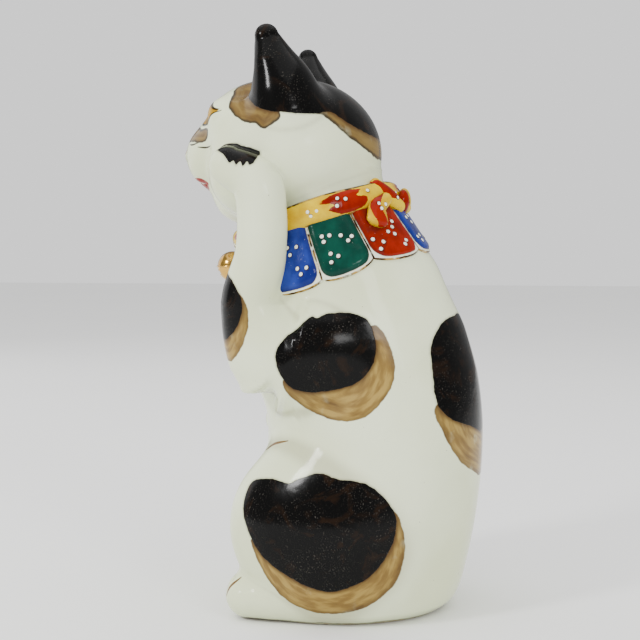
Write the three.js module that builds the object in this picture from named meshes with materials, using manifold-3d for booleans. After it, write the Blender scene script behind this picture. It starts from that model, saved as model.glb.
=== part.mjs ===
// Beckoning cat: a slip-cast porcelain figurine with its left paw raised, luted together from hollow
// castings and pressed relief pieces. Millimetres, +Z up, the cat looks along -Y, its left side is +X.
import * as THREE from "three";
import { mergeVertices } from "three/addons/utils/BufferGeometryUtils.js";
import Module from "manifold-3d";

const wasm = await Module();
wasm.setup();

// ---- Driving dimensions --------------------------------------------------------------------------------

const TORSO_WIDTH = 108;
const TORSO_DEPTH = 108;
const TORSO_HEIGHT = 206; // to the top of the neck, which ends inside the head
const WALL = 5; // of the hollow castings
const SLIP_GAP = 0.3; // between two luted pieces

const HEAD_WIDTH = 98;
const HEAD_DEPTH = 80;
const HEAD_HEIGHT = 72;
const HEAD_OVERLAP = 27.5; // how far the head comes down over the neck's end
const HEAD_FORWARD = 22.5; // of the head's middle, from the figure's axis

const EAR_HEIGHT = 38; // from its root inside the skull to the tip
const EAR_WIDTH = 44;
const LEFT_EAR_DEPTH = 32;
const RIGHT_EAR_DEPTH = 28;
const EAR_SPREAD = 31; // of each root, from the head's middle plane

const ARM_GIRTH = 22.4; // of the forearms
const FOOT_WIDTH = 30;
const FOOT_HEIGHT = 22;
const TAIL_GIRTH = 17;

const COLLAR_HEIGHT = 11;
const COLLAR_THICKNESS = 7;
const COLLAR_TILT = 18; // degrees, its back edge higher
const COLLAR_DROP = 18.5; // of the collar's middle plane at the figure's axis, below the neck's end
const COLLAR_BITE = 2; // how deep the collar is let into the neck

const BIB_DROP = 24.5; // below the collar's lower edge
const BIB_SAG = 3; // of each panel's lower edge, as a scallop
const BIB_THICKNESS = 2.4;
const BIB_SPACING = 0.8; // between two panels

const BELL_DIAMETER = 15;
const BELL_SLOT = 1.6;

const SLAB_THICKNESS = 5;
const VENT_DIAMETER = 16;
const VENT_SETBACK = 24; // of the vent's middle, behind the figure's axis

const KNOT_SIZE = 12;
const LOOP_WIDTH = 9;
const RIBBON_WIDTH = 11; // of the two hanging ends, at their widest
const RIBBON_THICKNESS = 6;

const HALF_WIDTH = TORSO_WIDTH / 2;
const HALF_DEPTH = TORSO_DEPTH / 2;
const COLLAR_LEVEL = TORSO_HEIGHT - COLLAR_DROP;
const HEAD_HALF = new THREE.Vector3(HEAD_WIDTH, HEAD_DEPTH, HEAD_HEIGHT).multiplyScalar(0.5);
const HEAD_MIDDLE = new THREE.Vector3(0, -HEAD_FORWARD, TORSO_HEIGHT + HEAD_HALF.z - HEAD_OVERLAP);

// The torso's outline: share of its height, then its middle, half depth and half width as shares of the
// torso's half depth and half width.
const TORSO_SECTIONS = [
  { up: 0.0, middle: 0.01, depth: 0.86, width: 0.76 },
  { up: 0.025, middle: 0.05, depth: 0.94, width: 0.87 },
  { up: 0.07, middle: 0.09, depth: 0.975, width: 0.96 },
  { up: 0.2, middle: 0.2, depth: 0.97, width: 1.02 },
  { up: 0.34, middle: 0.28, depth: 0.95, width: 0.98 },
  { up: 0.45, middle: 0.28, depth: 0.95, width: 0.93 },
  { up: 0.55, middle: 0.17, depth: 1.01, width: 0.91 },
  { up: 0.64, middle: 0.05, depth: 1.03, width: 0.9 },
  { up: 0.72, middle: -0.03, depth: 0.97, width: 0.88 },
  { up: 0.79, middle: -0.06, depth: 0.88, width: 0.85 },
  { up: 0.85, middle: -0.1, depth: 0.76, width: 0.79 },
  { up: 0.9, middle: -0.13, depth: 0.66, width: 0.73 },
  { up: 0.95, middle: -0.17, depth: 0.57, width: 0.67 },
  { up: 1.0, middle: -0.21, depth: 0.52, width: 0.6 },
];

// The head's lobes: middle and half sizes, each a share of the head's half width, half depth and half height.
const HEAD_LOBES = [
  { at: [0, 0, 0], half: [1, 1, 1] },
  { at: [0, -0.39, 0.36], half: [0.78, 0.68, 0.6] },
  { at: [0, -0.89, 0], half: [0.46, 0.47, 0.5] },
  { at: [0, -0.59, -0.56], half: [0.4, 0.42, 0.36] },
  { at: [0.5, -0.36, -0.28], half: [0.46, 0.52, 0.56] },
  { at: [-0.5, -0.36, -0.28], half: [0.46, 0.52, 0.56] },
];
const LOBE_BLEND = 22; // the higher, the sharper the creases between the lobes

// The seams between the bib's panels, in degrees round the neck from the cat's left. Set by hand, so uneven.
const BIB_SEAMS = [-4, 25, 66, 112, 155, 184, 216, 252, 288, 323, 356];
const BIB_COLOURS = ["green", "red", "blue", "red", "green", "blue", "green", "red", "green", "blue"];

// ---- Shaping -------------------------------------------------------------------------------------------

/** Moves every vertex of a three.js geometry to where place(vertex) says, keeping its faces. */
function reshape(geometry, place) {
  const points = geometry.getAttribute("position");
  for (let i = 0; i < points.count; i++) {
    const moved = place(new THREE.Vector3().fromBufferAttribute(points, i));
    points.setXYZ(i, moved.x, moved.y, moved.z);
  }
  return geometry;
}

/** A closed geometry as a manifold-3d solid. */
function solidOf(geometry) {
  geometry.deleteAttribute("normal");
  geometry.deleteAttribute("uv");
  const merged = mergeVertices(geometry, 1e-3);
  return new wasm.Manifold(
    new wasm.Mesh({
      numProp: 3,
      vertProperties: merged.getAttribute("position").array,
      triVerts: new Uint32Array(merged.index.array),
    }),
  );
}

/** A manifold-3d solid as a named three.js mesh. */
function meshOf(name, solid, material) {
  const made = solid.getMesh();
  const geometry = new THREE.BufferGeometry();
  geometry.setAttribute("position", new THREE.BufferAttribute(made.vertProperties, made.numProp));
  geometry.setIndex(new THREE.BufferAttribute(made.triVerts, 1));
  geometry.computeVertexNormals();
  const mesh = new THREE.Mesh(geometry, material);
  mesh.name = name;
  return mesh;
}

/** The largest body of a solid, without the offcuts that a cut leaves. */
function largest(solid) {
  return solid.decompose().reduce((a, b) => (a.volume() > b.volume() ? a : b));
}

/** An ellipsoid with its half sizes along X, Y and Z, turned about X by tilt degrees. */
function ellipsoid(middle, half, tilt = 0, around = 18, along = 12) {
  const geometry = new THREE.SphereGeometry(1, around, along);
  geometry.scale(half.x, half.y, half.z);
  geometry.rotateX(THREE.MathUtils.degToRad(tilt));
  geometry.translate(middle.x, middle.y, middle.z);
  return solidOf(geometry);
}

/** A box given by its lowest and highest corners. */
function box(low, high) {
  const size = new THREE.Vector3().subVectors(high, low);
  const geometry = new THREE.BoxGeometry(size.x, size.y, size.z);
  geometry.translate(low.x + size.x / 2, low.y + size.y / 2, low.z + size.z / 2);
  return solidOf(geometry);
}

/**
 * A round-ended limb along a smooth curve. Each station is {at, wide, thick}: the point, and the half
 * sizes across the curve along side and square to it.
 */
function limb(stations, side, grow, around, along) {
  const line = new THREE.CatmullRomCurve3(stations.map((s) => s.at));
  const girth = new THREE.CatmullRomCurve3(stations.map((s) => new THREE.Vector3(s.wide, s.thick, 0)));
  const length = 10;
  const geometry = new THREE.CapsuleGeometry(1, length, 4, around, along);
  return solidOf(
    reshape(geometry, (p) => {
      const t = THREE.MathUtils.clamp(p.y / length + 0.5, 0, 1);
      const beyond = p.y - (t - 0.5) * length;
      const size = girth.getPoint(t);
      const tangent = line.getTangent(t);
      const across = side.clone().addScaledVector(tangent, -side.dot(tangent)).normalize();
      const third = new THREE.Vector3().crossVectors(across, tangent);
      return line
        .getPoint(t)
        .addScaledVector(across, p.x * (size.x + grow))
        .addScaledVector(third, p.z * (size.y + grow))
        .addScaledVector(tangent, beyond * (Math.min(size.x, size.y) + grow));
    }),
  );
}

// ---- Torso and head ------------------------------------------------------------------------------------

const torsoLine = new THREE.CatmullRomCurve3(
  TORSO_SECTIONS.map((s) => new THREE.Vector3(0, s.middle * HALF_DEPTH, s.up * TORSO_HEIGHT)),
);
const torsoGirth = new THREE.CatmullRomCurve3(
  TORSO_SECTIONS.map((s) => new THREE.Vector3(s.width * HALF_WIDTH, s.depth * HALF_DEPTH, 0)),
);

/** The torso's solid form, with every section grown outwards. */
function torsoForm(grow = 0, around = 36, along = 18) {
  const geometry = new THREE.CylinderGeometry(1, 1, 1, around, along);
  return solidOf(
    reshape(geometry, (p) => {
      const t = p.y + 0.5;
      const middle = torsoLine.getPoint(t);
      const half = torsoGirth.getPoint(t);
      return new THREE.Vector3(p.x * (half.x + grow), middle.y - p.z * (half.y + grow), middle.z);
    }),
  );
}

/** A place in the head, as shares of its half width, half depth and half height from its middle. */
function inHead(x, y, z) {
  return new THREE.Vector3(x, y, z).multiply(HEAD_HALF).add(HEAD_MIDDLE);
}

/** How far a lobe of the head reaches from the head's middle in a direction, or 0 where it is never met. */
function lobeReach(lobe, direction, grow) {
  const half = new THREE.Vector3(...lobe.half).multiply(HEAD_HALF).addScalar(grow);
  const ray = direction.clone().divide(half);
  const middle = new THREE.Vector3(...lobe.at).multiply(HEAD_HALF).divide(half);
  const across = ray.lengthSq();
  const towards = ray.dot(middle);
  const inside = towards * towards - across * (middle.lengthSq() - 1);
  return inside < 0 ? 0 : Math.max(0, (towards + Math.sqrt(inside)) / across);
}

/** The head's solid form: skull, brow, muzzle, chin and cheeks blended into one skin. */
function headForm(grow = 0, around = 36, along = 22) {
  const geometry = new THREE.SphereGeometry(1, around, along);
  return solidOf(
    reshape(geometry, (p) => {
      const direction = p.clone().normalize();
      const sum = HEAD_LOBES.reduce((s, lobe) => s + lobeReach(lobe, direction, grow) ** LOBE_BLEND, 0);
      return direction.multiplyScalar(sum ** (1 / LOBE_BLEND)).add(HEAD_MIDDLE);
    }),
  );
}

/** Everything above the collar's middle plane, moved up by lift. */
function aboveCollar(lift) {
  const reach = 4 * (TORSO_WIDTH + HEAD_HEIGHT);
  const geometry = new THREE.BoxGeometry(reach, reach, reach);
  geometry.translate(0, 0, reach / 2 + lift);
  geometry.rotateX(THREE.MathUtils.degToRad(COLLAR_TILT));
  geometry.translate(0, 0, COLLAR_LEVEL);
  return solidOf(geometry);
}

/** The floor under the figure, which trims what would reach below it. */
function belowFloor() {
  const reach = 4 * TORSO_WIDTH;
  return box(new THREE.Vector3(-reach, -reach, -reach), new THREE.Vector3(reach, reach, 0));
}

function torsoShell() {
  const hollow = torsoForm(-WALL, 20, 12);
  return torsoForm().subtract(aboveCollar(-SLIP_GAP / 2)).subtract(hollow);
}

function headShell() {
  const outer = headForm().add(torsoForm());
  const inner = headForm(-WALL, 18, 10).add(torsoForm(-WALL, 20, 12));
  return outer.intersect(aboveCollar(SLIP_GAP / 2)).subtract(inner);
}

/** The floor of the hollow torso, with the vent that lets the kiln's gases out. */
function baseSlab() {
  const plug = torsoForm(-WALL - SLIP_GAP, 20, 12);
  const reach = 2 * TORSO_WIDTH;
  const layer = box(new THREE.Vector3(-reach, -reach, -1), new THREE.Vector3(reach, reach, SLAB_THICKNESS));
  const vent = new THREE.CylinderGeometry(VENT_DIAMETER / 2, VENT_DIAMETER / 2, 4 * SLAB_THICKNESS, 32);
  vent.rotateX(Math.PI / 2);
  vent.translate(0, VENT_SETBACK, 0);
  return plug.intersect(layer).subtract(solidOf(vent));
}

/** A triangular ear with a rounded tip and a hollow front. */
function ear(side, grow) {
  const depth = side > 0 ? LEFT_EAR_DEPTH : RIGHT_EAR_DEPTH;
  const root = inHead(0, 0.1, 0.5).add(new THREE.Vector3(side * EAR_SPREAD, 0, 0));
  const point = (up, out, forward) =>
    root.clone().add(new THREE.Vector3(side * out * EAR_WIDTH, -forward * depth, up * EAR_HEIGHT));
  const stations = [
    { at: point(0, 0, 0), wide: 0.46 * EAR_WIDTH, thick: 0.54 * depth },
    { at: point(0.33, 0.035, 0.1), wide: 0.4 * EAR_WIDTH, thick: 0.45 * depth },
    { at: point(0.64, 0.085, 0.21), wide: 0.27 * EAR_WIDTH, thick: 0.29 * depth },
    { at: point(0.87, 0.12, 0.28), wide: 0.13 * EAR_WIDTH, thick: 0.17 * depth },
  ];
  const form = limb(stations, new THREE.Vector3(1, 0, 0), grow, 16, 6);
  const hollow = new THREE.Vector3(0.26 * EAR_WIDTH, 0.34 * depth, 0.36 * EAR_HEIGHT).addScalar(-grow);
  return form.subtract(ellipsoid(point(0.5, 0.07, 0.7), hollow, 10));
}

// ---- Legs, arms and tail -------------------------------------------------------------------------------

/** A place on the torso, as shares of its half width, half depth and height. */
function onBody(x, y, z) {
  return new THREE.Vector3(x * HALF_WIDTH, y * HALF_DEPTH, z * TORSO_HEIGHT);
}

/** Limb stations given as a place on the torso, then half sizes as shares of a girth. */
function stationsOf(girth, rows) {
  return rows.map(([at, wide, thick]) => ({ at, wide: (wide * girth) / 2, thick: (thick * girth) / 2 }));
}

/** A haunch, bulging from the torso's lower side. */
function haunch(side, grow) {
  const half = new THREE.Vector3(0.53 * HALF_WIDTH, 0.8 * HALF_DEPTH, 0.2 * TORSO_HEIGHT).addScalar(grow);
  return ellipsoid(onBody(0.6 * side, -0.05, 0.205), half, 0, 24, 16);
}

/** A hind foot, flat on the floor with its toes just ahead of the haunch. */
function hindFoot(side, grow) {
  const width = FOOT_WIDTH / FOOT_HEIGHT;
  const heel = onBody(0.66 * side, -0.1, 0).setZ(0.44 * FOOT_HEIGHT);
  const sole = onBody(0.69 * side, -0.4, 0).setZ(0.49 * FOOT_HEIGHT);
  const toes = onBody(0.68 * side, -0.66, 0).setZ(0.49 * FOOT_HEIGHT);
  const stations = stationsOf(FOOT_HEIGHT, [
    [heel, 0.9 * width, 0.88],
    [sole, width, 1],
    [toes, width, 1],
  ]);
  return limb(stations, new THREE.Vector3(1, 0, 0), grow, 16, 6);
}

/** The raised left arm: a heavy elbow, a forearm up past the cheek and a paw bent forwards at the wrist. */
function raisedArm(grow) {
  const stations = stationsOf(ARM_GIRTH, [
    [onBody(0.64, -0.1, 0.6), 2.15, 2.4],
    [onBody(0.7, -0.36, 0.59), 2.05, 2.25],
    [onBody(0.84, -0.6, 0.705), 1.22, 1.22],
    [onBody(0.9, -0.5, 0.81), 1.03, 1.03],
    [onBody(0.93, -0.48, 0.9), 0.98, 1],
    [onBody(0.92, -0.53, 0.965), 1.03, 1],
    [onBody(0.89, -0.77, 1.003), 0.98, 0.8],
  ]);
  return limb(stations, new THREE.Vector3(1, 0, 0), grow, 20, 14);
}

/** The lowered right arm, its paw resting on the knee. */
function loweredArm(grow) {
  const onKnee = onBody(-0.5, -0.64, 0.355).add(new THREE.Vector3(0, 0, ARM_GIRTH / 2));
  const stations = stationsOf(ARM_GIRTH, [
    [onBody(-0.66, -0.02, 0.68), 1.5, 1.8],
    [onBody(-0.78, -0.28, 0.56), 1.35, 1.5],
    [onBody(-0.68, -0.56, 0.46), 1.07, 1.07],
    [onKnee, 1.07, 1],
  ]);
  return limb(stations, new THREE.Vector3(1, 0, 0), grow, 16, 10);
}

/** The short tail, lying along the right side of the rump. */
function catTail(grow) {
  const stations = stationsOf(TAIL_GIRTH, [
    [onBody(-0.78, 0.68, 0.05), 0.65, 0.7],
    [onBody(-0.92, 0.42, 0.05), 0.9, 0.95],
    [onBody(-1.02, 0.12, 0.055), 1, 1.05],
    [onBody(-1.04, -0.16, 0.06), 0.95, 1],
  ]);
  return limb(stations, new THREE.Vector3(0, 0, 1), grow, 14, 8);
}

// ---- Collar, bow, bell and bib -------------------------------------------------------------------------

/** The share of the torso's height at a level over the figure's axis, found by halving. */
function shareAt(level) {
  let low = 0;
  let high = 1;
  for (let step = 0; step < 30; step++) {
    const middle = (low + high) / 2;
    if (torsoLine.getPoint(middle).z < level) low = middle;
    else high = middle;
  }
  return low;
}

const tilt = THREE.MathUtils.degToRad(COLLAR_TILT);

const BACKWARDS = new THREE.Vector3(0, Math.cos(tilt), Math.sin(tilt)); // in the collar's plane
const COLLAR_UP = new THREE.Vector3(0, -Math.sin(tilt), Math.cos(tilt)); // square to the collar's plane

/** Whether a point is inside the torso's form. */
function inTorso(p) {
  const share = shareAt(p.z);
  const half = torsoGirth.getPoint(share);
  return Math.hypot(p.x / half.x, (p.y - torsoLine.getPoint(share).y) / half.y) < 1;
}

/**
 * The point of the neck's surface at a turn about the collar's axis and a drop below the collar's plane,
 * moved outward.
 */
function neckPoint(turn, drop = 0, outward = 0) {
  const along = BACKWARDS.clone().multiplyScalar(Math.sin(turn)).setX(Math.cos(turn));
  const start = new THREE.Vector3(0, 0, COLLAR_LEVEL).addScaledVector(COLLAR_UP, -drop);
  start.addScaledVector(BACKWARDS, torsoLine.getPoint(shareAt(start.z)).y);
  let low = 0;
  let high = TORSO_WIDTH;
  for (let step = 0; step < 24; step++) {
    const reach = (low + high) / 2;
    if (inTorso(start.clone().addScaledVector(along, reach))) low = reach;
    else high = reach;
  }
  return start.addScaledVector(along, low + outward);
}

/** The rolled collar round the neck, as an oval band. */
function collarBand(grow) {
  const tube = 0.25;
  const geometry = new THREE.TorusGeometry(1, tube, 8, 40);
  return solidOf(
    reshape(geometry, (p) => {
      const turn = Math.atan2(p.y, p.x);
      const out = (Math.hypot(p.x, p.y) - 1) / tube;
      const up = p.z / tube;
      const outward = COLLAR_THICKNESS / 2 - COLLAR_BITE + out * (COLLAR_THICKNESS / 2 + grow);
      return neckPoint(turn, 0, outward).addScaledVector(COLLAR_UP, up * (COLLAR_HEIGHT / 2 + grow));
    }),
  );
}

const FRONT = -Math.PI / 2;
const BACK = Math.PI / 2;

const bellMiddle = () => neckPoint(FRONT, COLLAR_HEIGHT / 2 + 0.25 * BELL_DIAMETER, 0.08 * BELL_DIAMETER);

/** The round bell under the chin. */
function bell(grow) {
  const radius = BELL_DIAMETER / 2 + grow;
  return ellipsoid(bellMiddle(), new THREE.Vector3(radius, radius, radius));
}

/** The sounding slot across the bell's lower front, with the round hole at its middle. */
function bellSlot() {
  const radius = BELL_DIAMETER / 2;
  const middle = bellMiddle().add(new THREE.Vector3(0, 0, -0.4 * radius));
  const low = middle.clone().add(new THREE.Vector3(-0.62 * radius, -2 * radius, -BELL_SLOT / 2));
  const high = middle.clone().add(new THREE.Vector3(0.62 * radius, -0.6 * radius, BELL_SLOT / 2));
  const hole = new THREE.CylinderGeometry(1.1 * BELL_SLOT, 1.1 * BELL_SLOT, 2 * radius, 16);
  hole.translate(middle.x, middle.y - 1.6 * radius, middle.z);
  return box(low, high).add(solidOf(hole));
}

/** The wrap at the middle of the bow, at the nape. */
function bowKnot(grow) {
  const middle = neckPoint(BACK, 5, COLLAR_THICKNESS - COLLAR_BITE - 2.2);
  const half = new THREE.Vector3(0.5 * KNOT_SIZE, 0.38 * KNOT_SIZE, 0.6 * KNOT_SIZE).addScalar(grow);
  return ellipsoid(middle, half, COLLAR_TILT, 16, 10);
}

/** A point of the bow: degrees round from the nape, and a drop below the collar's middle. */
function bowPoint(side, degrees, drop, outward) {
  const turn = BACK - side * THREE.MathUtils.degToRad(degrees);
  return neckPoint(turn, drop, COLLAR_THICKNESS - COLLAR_BITE + outward);
}

/** One loop of the bow, standing up and out from the knot. */
function bowLoop(side, grow) {
  const flat = RIBBON_THICKNESS / LOOP_WIDTH;
  const stations = stationsOf(LOOP_WIDTH, [
    [bowPoint(side, 14, 7, -2), flat, 0.7],
    [bowPoint(side, 23, 2, -1.6), 1.05 * flat, 1],
    [bowPoint(side, 32, -5, -2.2), 0.95 * flat, 0.84],
  ]);
  return limb(stations, new THREE.Vector3(0, 1, 0.3), grow, 12, 5);
}

/** One end of the bow's ribbon, hanging over the bib as a drop. */
function bowEnd(side, grow) {
  const flat = RIBBON_THICKNESS / RIBBON_WIDTH;
  const stations = stationsOf(RIBBON_WIDTH, [
    [bowPoint(side, 33, 3, -1), flat, 0.56],
    [bowPoint(side, 46, 6.5, -1), flat, 0.8],
    [bowPoint(side, 51, 12, -1.6), flat, 1],
  ]);
  return limb(stations, new THREE.Vector3(0, 1, 0.3), grow, 12, 5);
}

/** One panel of the bib, between two seams: a piece of a skin over the torso with rounded lower corners. */
function bibPanel(from, to, grow) {
  const turn = THREE.MathUtils.degToRad((from + to) / 2);
  const half = THREE.MathUtils.degToRad((to - from) / 2);
  const top = COLLAR_HEIGHT / 2 - COLLAR_BITE;
  const bottom = COLLAR_HEIGHT / 2 + BIB_DROP;
  const halfAt = (drop) => {
    const chord = neckPoint(turn - half, drop).distanceTo(neckPoint(turn + half, drop));
    return (chord - BIB_SPACING) / 2 + grow;
  };
  const upper = halfAt(top);
  const lower = halfAt(bottom);
  const round = 0.35 * lower;
  const outline = new THREE.Shape();
  outline.moveTo(-upper, grow - top);
  outline.lineTo(-lower, round - bottom);
  outline.quadraticCurveTo(-lower, -bottom - grow, round - lower, -bottom - grow);
  outline.quadraticCurveTo(0, -bottom - BIB_SAG - grow, lower - round, -bottom - grow);
  outline.quadraticCurveTo(lower, -bottom - grow, lower, round - bottom);
  outline.lineTo(upper, grow - top);
  outline.closePath();
  const settings = { depth: TORSO_WIDTH, bevelEnabled: false, curveSegments: 4 };
  const wedge = new THREE.ExtrudeGeometry(outline, settings);
  const inner = neckPoint(turn).add(neckPoint(turn + Math.PI)).multiplyScalar(0.5);
  const outward = new THREE.Vector3().subVectors(neckPoint(turn), inner).normalize();
  const across = new THREE.Vector3().crossVectors(COLLAR_UP, outward).normalize();
  wedge.applyMatrix4(new THREE.Matrix4().makeBasis(across, COLLAR_UP, outward).setPosition(inner));
  return torsoForm(SLIP_GAP + BIB_THICKNESS + grow)
    .subtract(torsoForm(SLIP_GAP - grow))
    .intersect(solidOf(wedge));
}

// ---- Glazes and enamels --------------------------------------------------------------------------------

const glazes = {
  white: new THREE.MeshStandardMaterial({ color: 0xe4e5dc, roughness: 0.12, metalness: 0 }),
  black: new THREE.MeshStandardMaterial({ color: 0x0b0b0c, roughness: 0.25, metalness: 0 }),
  biscuit: new THREE.MeshStandardMaterial({ color: 0xcfc6b2, roughness: 0.85, metalness: 0 }),
  yellow: new THREE.MeshStandardMaterial({ color: 0xe3b71d, roughness: 0.15, metalness: 0 }),
  red: new THREE.MeshStandardMaterial({ color: 0xc4301a, roughness: 0.15, metalness: 0 }),
  blue: new THREE.MeshStandardMaterial({ color: 0x2246ae, roughness: 0.15, metalness: 0 }),
  green: new THREE.MeshStandardMaterial({ color: 0x1f6b56, roughness: 0.15, metalness: 0 }),
  gold: new THREE.MeshStandardMaterial({ color: 0xb8862f, roughness: 0.3, metalness: 1 }),
};

// ---- Assembly ------------------------------------------------------------------------------------------

const SIDES = [
  ["left", 1],
  ["right", -1],
];
const body = new THREE.Group();
const head = new THREE.Group();
const dress = new THREE.Group();
const floor = belowFloor();
const placed = [torsoForm(SLIP_GAP), headForm(SLIP_GAP)];

/**
 * Lutes a piece onto the figure: trims its form to the floor and to every piece already there, a slip
 * gap apart. form(grow) gives the untrimmed solid, grown outwards.
 */
function lute(group, name, material, form, finish = (solid) => solid) {
  const trimmed = placed.reduce((solid, other) => solid.subtract(other), form(0).subtract(floor));
  group.add(meshOf(name, largest(finish(trimmed)), material));
  placed.push(form(SLIP_GAP).add(form(0)));
}

body.add(meshOf("base_slab", baseSlab(), glazes.biscuit));
body.add(meshOf("torso_shell", torsoShell(), glazes.white));
head.add(meshOf("head_shell", headShell(), glazes.white));
for (const [name, side] of SIDES) {
  lute(body, `${name}_haunch`, glazes.white, (grow) => haunch(side, grow));
  lute(body, `${name}_hind_foot`, glazes.white, (grow) => hindFoot(side, grow));
  lute(head, `${name}_ear`, glazes.black, (grow) => ear(side, grow));
}
lute(body, "raised_left_arm", glazes.white, raisedArm);
lute(body, "lowered_right_arm", glazes.white, loweredArm);
lute(body, "tail", glazes.white, catTail);

lute(dress, "collar_band", glazes.yellow, collarBand);
BIB_COLOURS.forEach((colour, i) => {
  lute(dress, `bib_panel_${i + 1}`, glazes[colour], (grow) => bibPanel(BIB_SEAMS[i], BIB_SEAMS[i + 1], grow));
});
lute(dress, "bow_knot", glazes.yellow, bowKnot);
for (const [name, side] of SIDES) {
  lute(dress, `bow_${name}_loop`, glazes.red, (grow) => bowLoop(side, grow));
  lute(dress, `bow_${name}_end`, glazes.yellow, (grow) => bowEnd(side, grow));
}
lute(dress, "bell", glazes.gold, bell, (solid) => solid.subtract(bellSlot()));

const figurine = new THREE.Group();
figurine.add(body, head, dress);

export default figurine;
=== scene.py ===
"""A beckoning cat figurine: glazed castings, an enamelled collar, bib and bow, and a gilded bell."""

import logging
import math
from dataclasses import dataclass, field
from enum import Enum
from typing import Callable, Sequence

import bmesh
import bpy
import numpy as np
from mathutils import Matrix, Vector
from mathutils.kdtree import KDTree


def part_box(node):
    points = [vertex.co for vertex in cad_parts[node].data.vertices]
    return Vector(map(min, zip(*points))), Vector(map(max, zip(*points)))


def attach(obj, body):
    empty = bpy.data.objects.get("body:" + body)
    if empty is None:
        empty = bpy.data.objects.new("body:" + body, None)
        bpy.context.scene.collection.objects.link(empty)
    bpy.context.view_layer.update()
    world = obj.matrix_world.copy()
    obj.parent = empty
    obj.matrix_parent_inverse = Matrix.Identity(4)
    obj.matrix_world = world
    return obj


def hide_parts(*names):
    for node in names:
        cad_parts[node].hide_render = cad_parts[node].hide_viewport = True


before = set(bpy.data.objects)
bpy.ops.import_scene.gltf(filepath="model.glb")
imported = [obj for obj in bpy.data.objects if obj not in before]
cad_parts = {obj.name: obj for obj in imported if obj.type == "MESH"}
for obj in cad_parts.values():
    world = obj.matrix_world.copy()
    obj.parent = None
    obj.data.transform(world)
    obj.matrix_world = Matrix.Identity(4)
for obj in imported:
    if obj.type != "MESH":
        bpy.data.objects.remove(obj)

LOG = logging.getLogger("figurine")
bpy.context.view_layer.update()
MM = 0.001
FAR = 40.0
ROOT = "root"


# ---- Curves and fields, in millimetres --------------------------------------------------------


def smooth_line(points: Sequence[Sequence[float]], samples: int, closed: bool = False) -> np.ndarray:
    """Runs a smooth curve through points.

    Args:
        points: The points that the curve goes through.
        samples: How many points of the curve to give.
        closed: Whether the curve comes back to its first point.

    Returns:
        The curve's points, one row each.
    """
    given = np.array(points, float)
    if closed:
        full = np.vstack([given[-1], given, given[0], given[1]])
    else:
        full = np.vstack([2 * given[0] - given[1], given, 2 * given[-1] - given[-2]])
    spans = len(full) - 3
    share = np.linspace(0, spans, samples, endpoint=not closed)
    at = np.minimum(share.astype(int), spans - 1)
    t = (share - at)[:, None]
    p0, p1, p2, p3 = (full[at + i] for i in range(4))

    def gap(a: np.ndarray, b: np.ndarray) -> np.ndarray:
        """The square root of the distance between two rows of points."""
        return np.maximum(np.sqrt(np.linalg.norm(a - b, axis=1)), 1e-6)[:, None]

    g0, g1, g2 = gap(p0, p1), gap(p1, p2), gap(p2, p3)
    m1 = g1 * ((p1 - p0) / g0 - (p2 - p0) / (g0 + g1) + (p2 - p1) / g1)
    m2 = g1 * ((p2 - p1) / g1 - (p3 - p1) / (g1 + g2) + (p3 - p2) / g2)
    t2, t3 = t * t, t * t * t
    return (2 * t3 - 3 * t2 + 1) * p1 + (t3 - 2 * t2 + t) * m1 + (3 * t2 - 2 * t3) * p2 + (t3 - t2) * m2


def melt(a: np.ndarray, b: np.ndarray, width: float | np.ndarray) -> np.ndarray:
    """Joins two distance fields with a fillet.

    Args:
        a: The first field's distances.
        b: The second field's distances.
        width: How wide the fillet is.

    Returns:
        The joined distances.
    """
    share = np.clip(0.5 + 0.5 * (b - a) / width, 0, 1)
    return b * (1 - share) + a * share - width * share * (1 - share)


def stroke_distance(p: np.ndarray, line: np.ndarray) -> np.ndarray:
    """The distance from flat points to an open line.

    Args:
        p: The points, two numbers a row.
        line: The line's corners, two numbers a row.

    Returns:
        One distance for each point.
    """
    best = np.full(len(p), FAR)
    for a, b in zip(line[:-1], line[1:]):
        along = b - a
        share = np.clip(((p - a) @ along) / max(along @ along, 1e-9), 0, 1)
        best = np.minimum(best, np.linalg.norm(p - a - share[:, None] * along, axis=1))
    return best


class Form:
    """A solid form given by its distance field."""

    low: np.ndarray
    high: np.ndarray

    def distance(self, p: np.ndarray) -> np.ndarray:
        """The signed distance of each point, negative inside."""
        raise NotImplementedError

    def near(self, p: np.ndarray) -> np.ndarray:
        """The signed distance of each point, with far points left at one large value."""
        close = np.all((p > self.low - 14) & (p < self.high + 14), axis=1)
        out = np.full(len(p), FAR)
        if close.any():
            out[close] = self.distance(p[close])
        return out


class Ball(Form):
    """An ellipsoid."""

    def __init__(self, middle: Sequence[float], half: Sequence[float]) -> None:
        """Keeps the ball's place.

        Args:
            middle: Its centre.
            half: Its half sizes along X, Y and Z.
        """
        self.middle, self.half = np.array(middle, float), np.array(half, float)
        self.low, self.high = self.middle - self.half, self.middle + self.half

    def distance(self, p: np.ndarray) -> np.ndarray:
        """The signed distance of each point, negative inside."""
        q = (p - self.middle) / self.half
        size = np.linalg.norm(q, axis=1)
        slope = np.maximum(np.linalg.norm(q / self.half, axis=1), 1e-6)
        return size * (size - 1) / slope

    def add_to(self, bm: bmesh.types.BMesh, grow: float = 0.0, around: int = 48) -> None:
        """Adds the ball's mesh.

        Args:
            bm: The mesh to add to.
            grow: How far the ball is grown outwards.
            around: How many segments it has around.
        """
        place = Matrix.Translation(self.middle) @ Matrix.Diagonal((*(self.half + grow), 1))
        bmesh.ops.create_uvsphere(bm, u_segments=around, v_segments=around // 2, radius=1, matrix=place)


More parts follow.
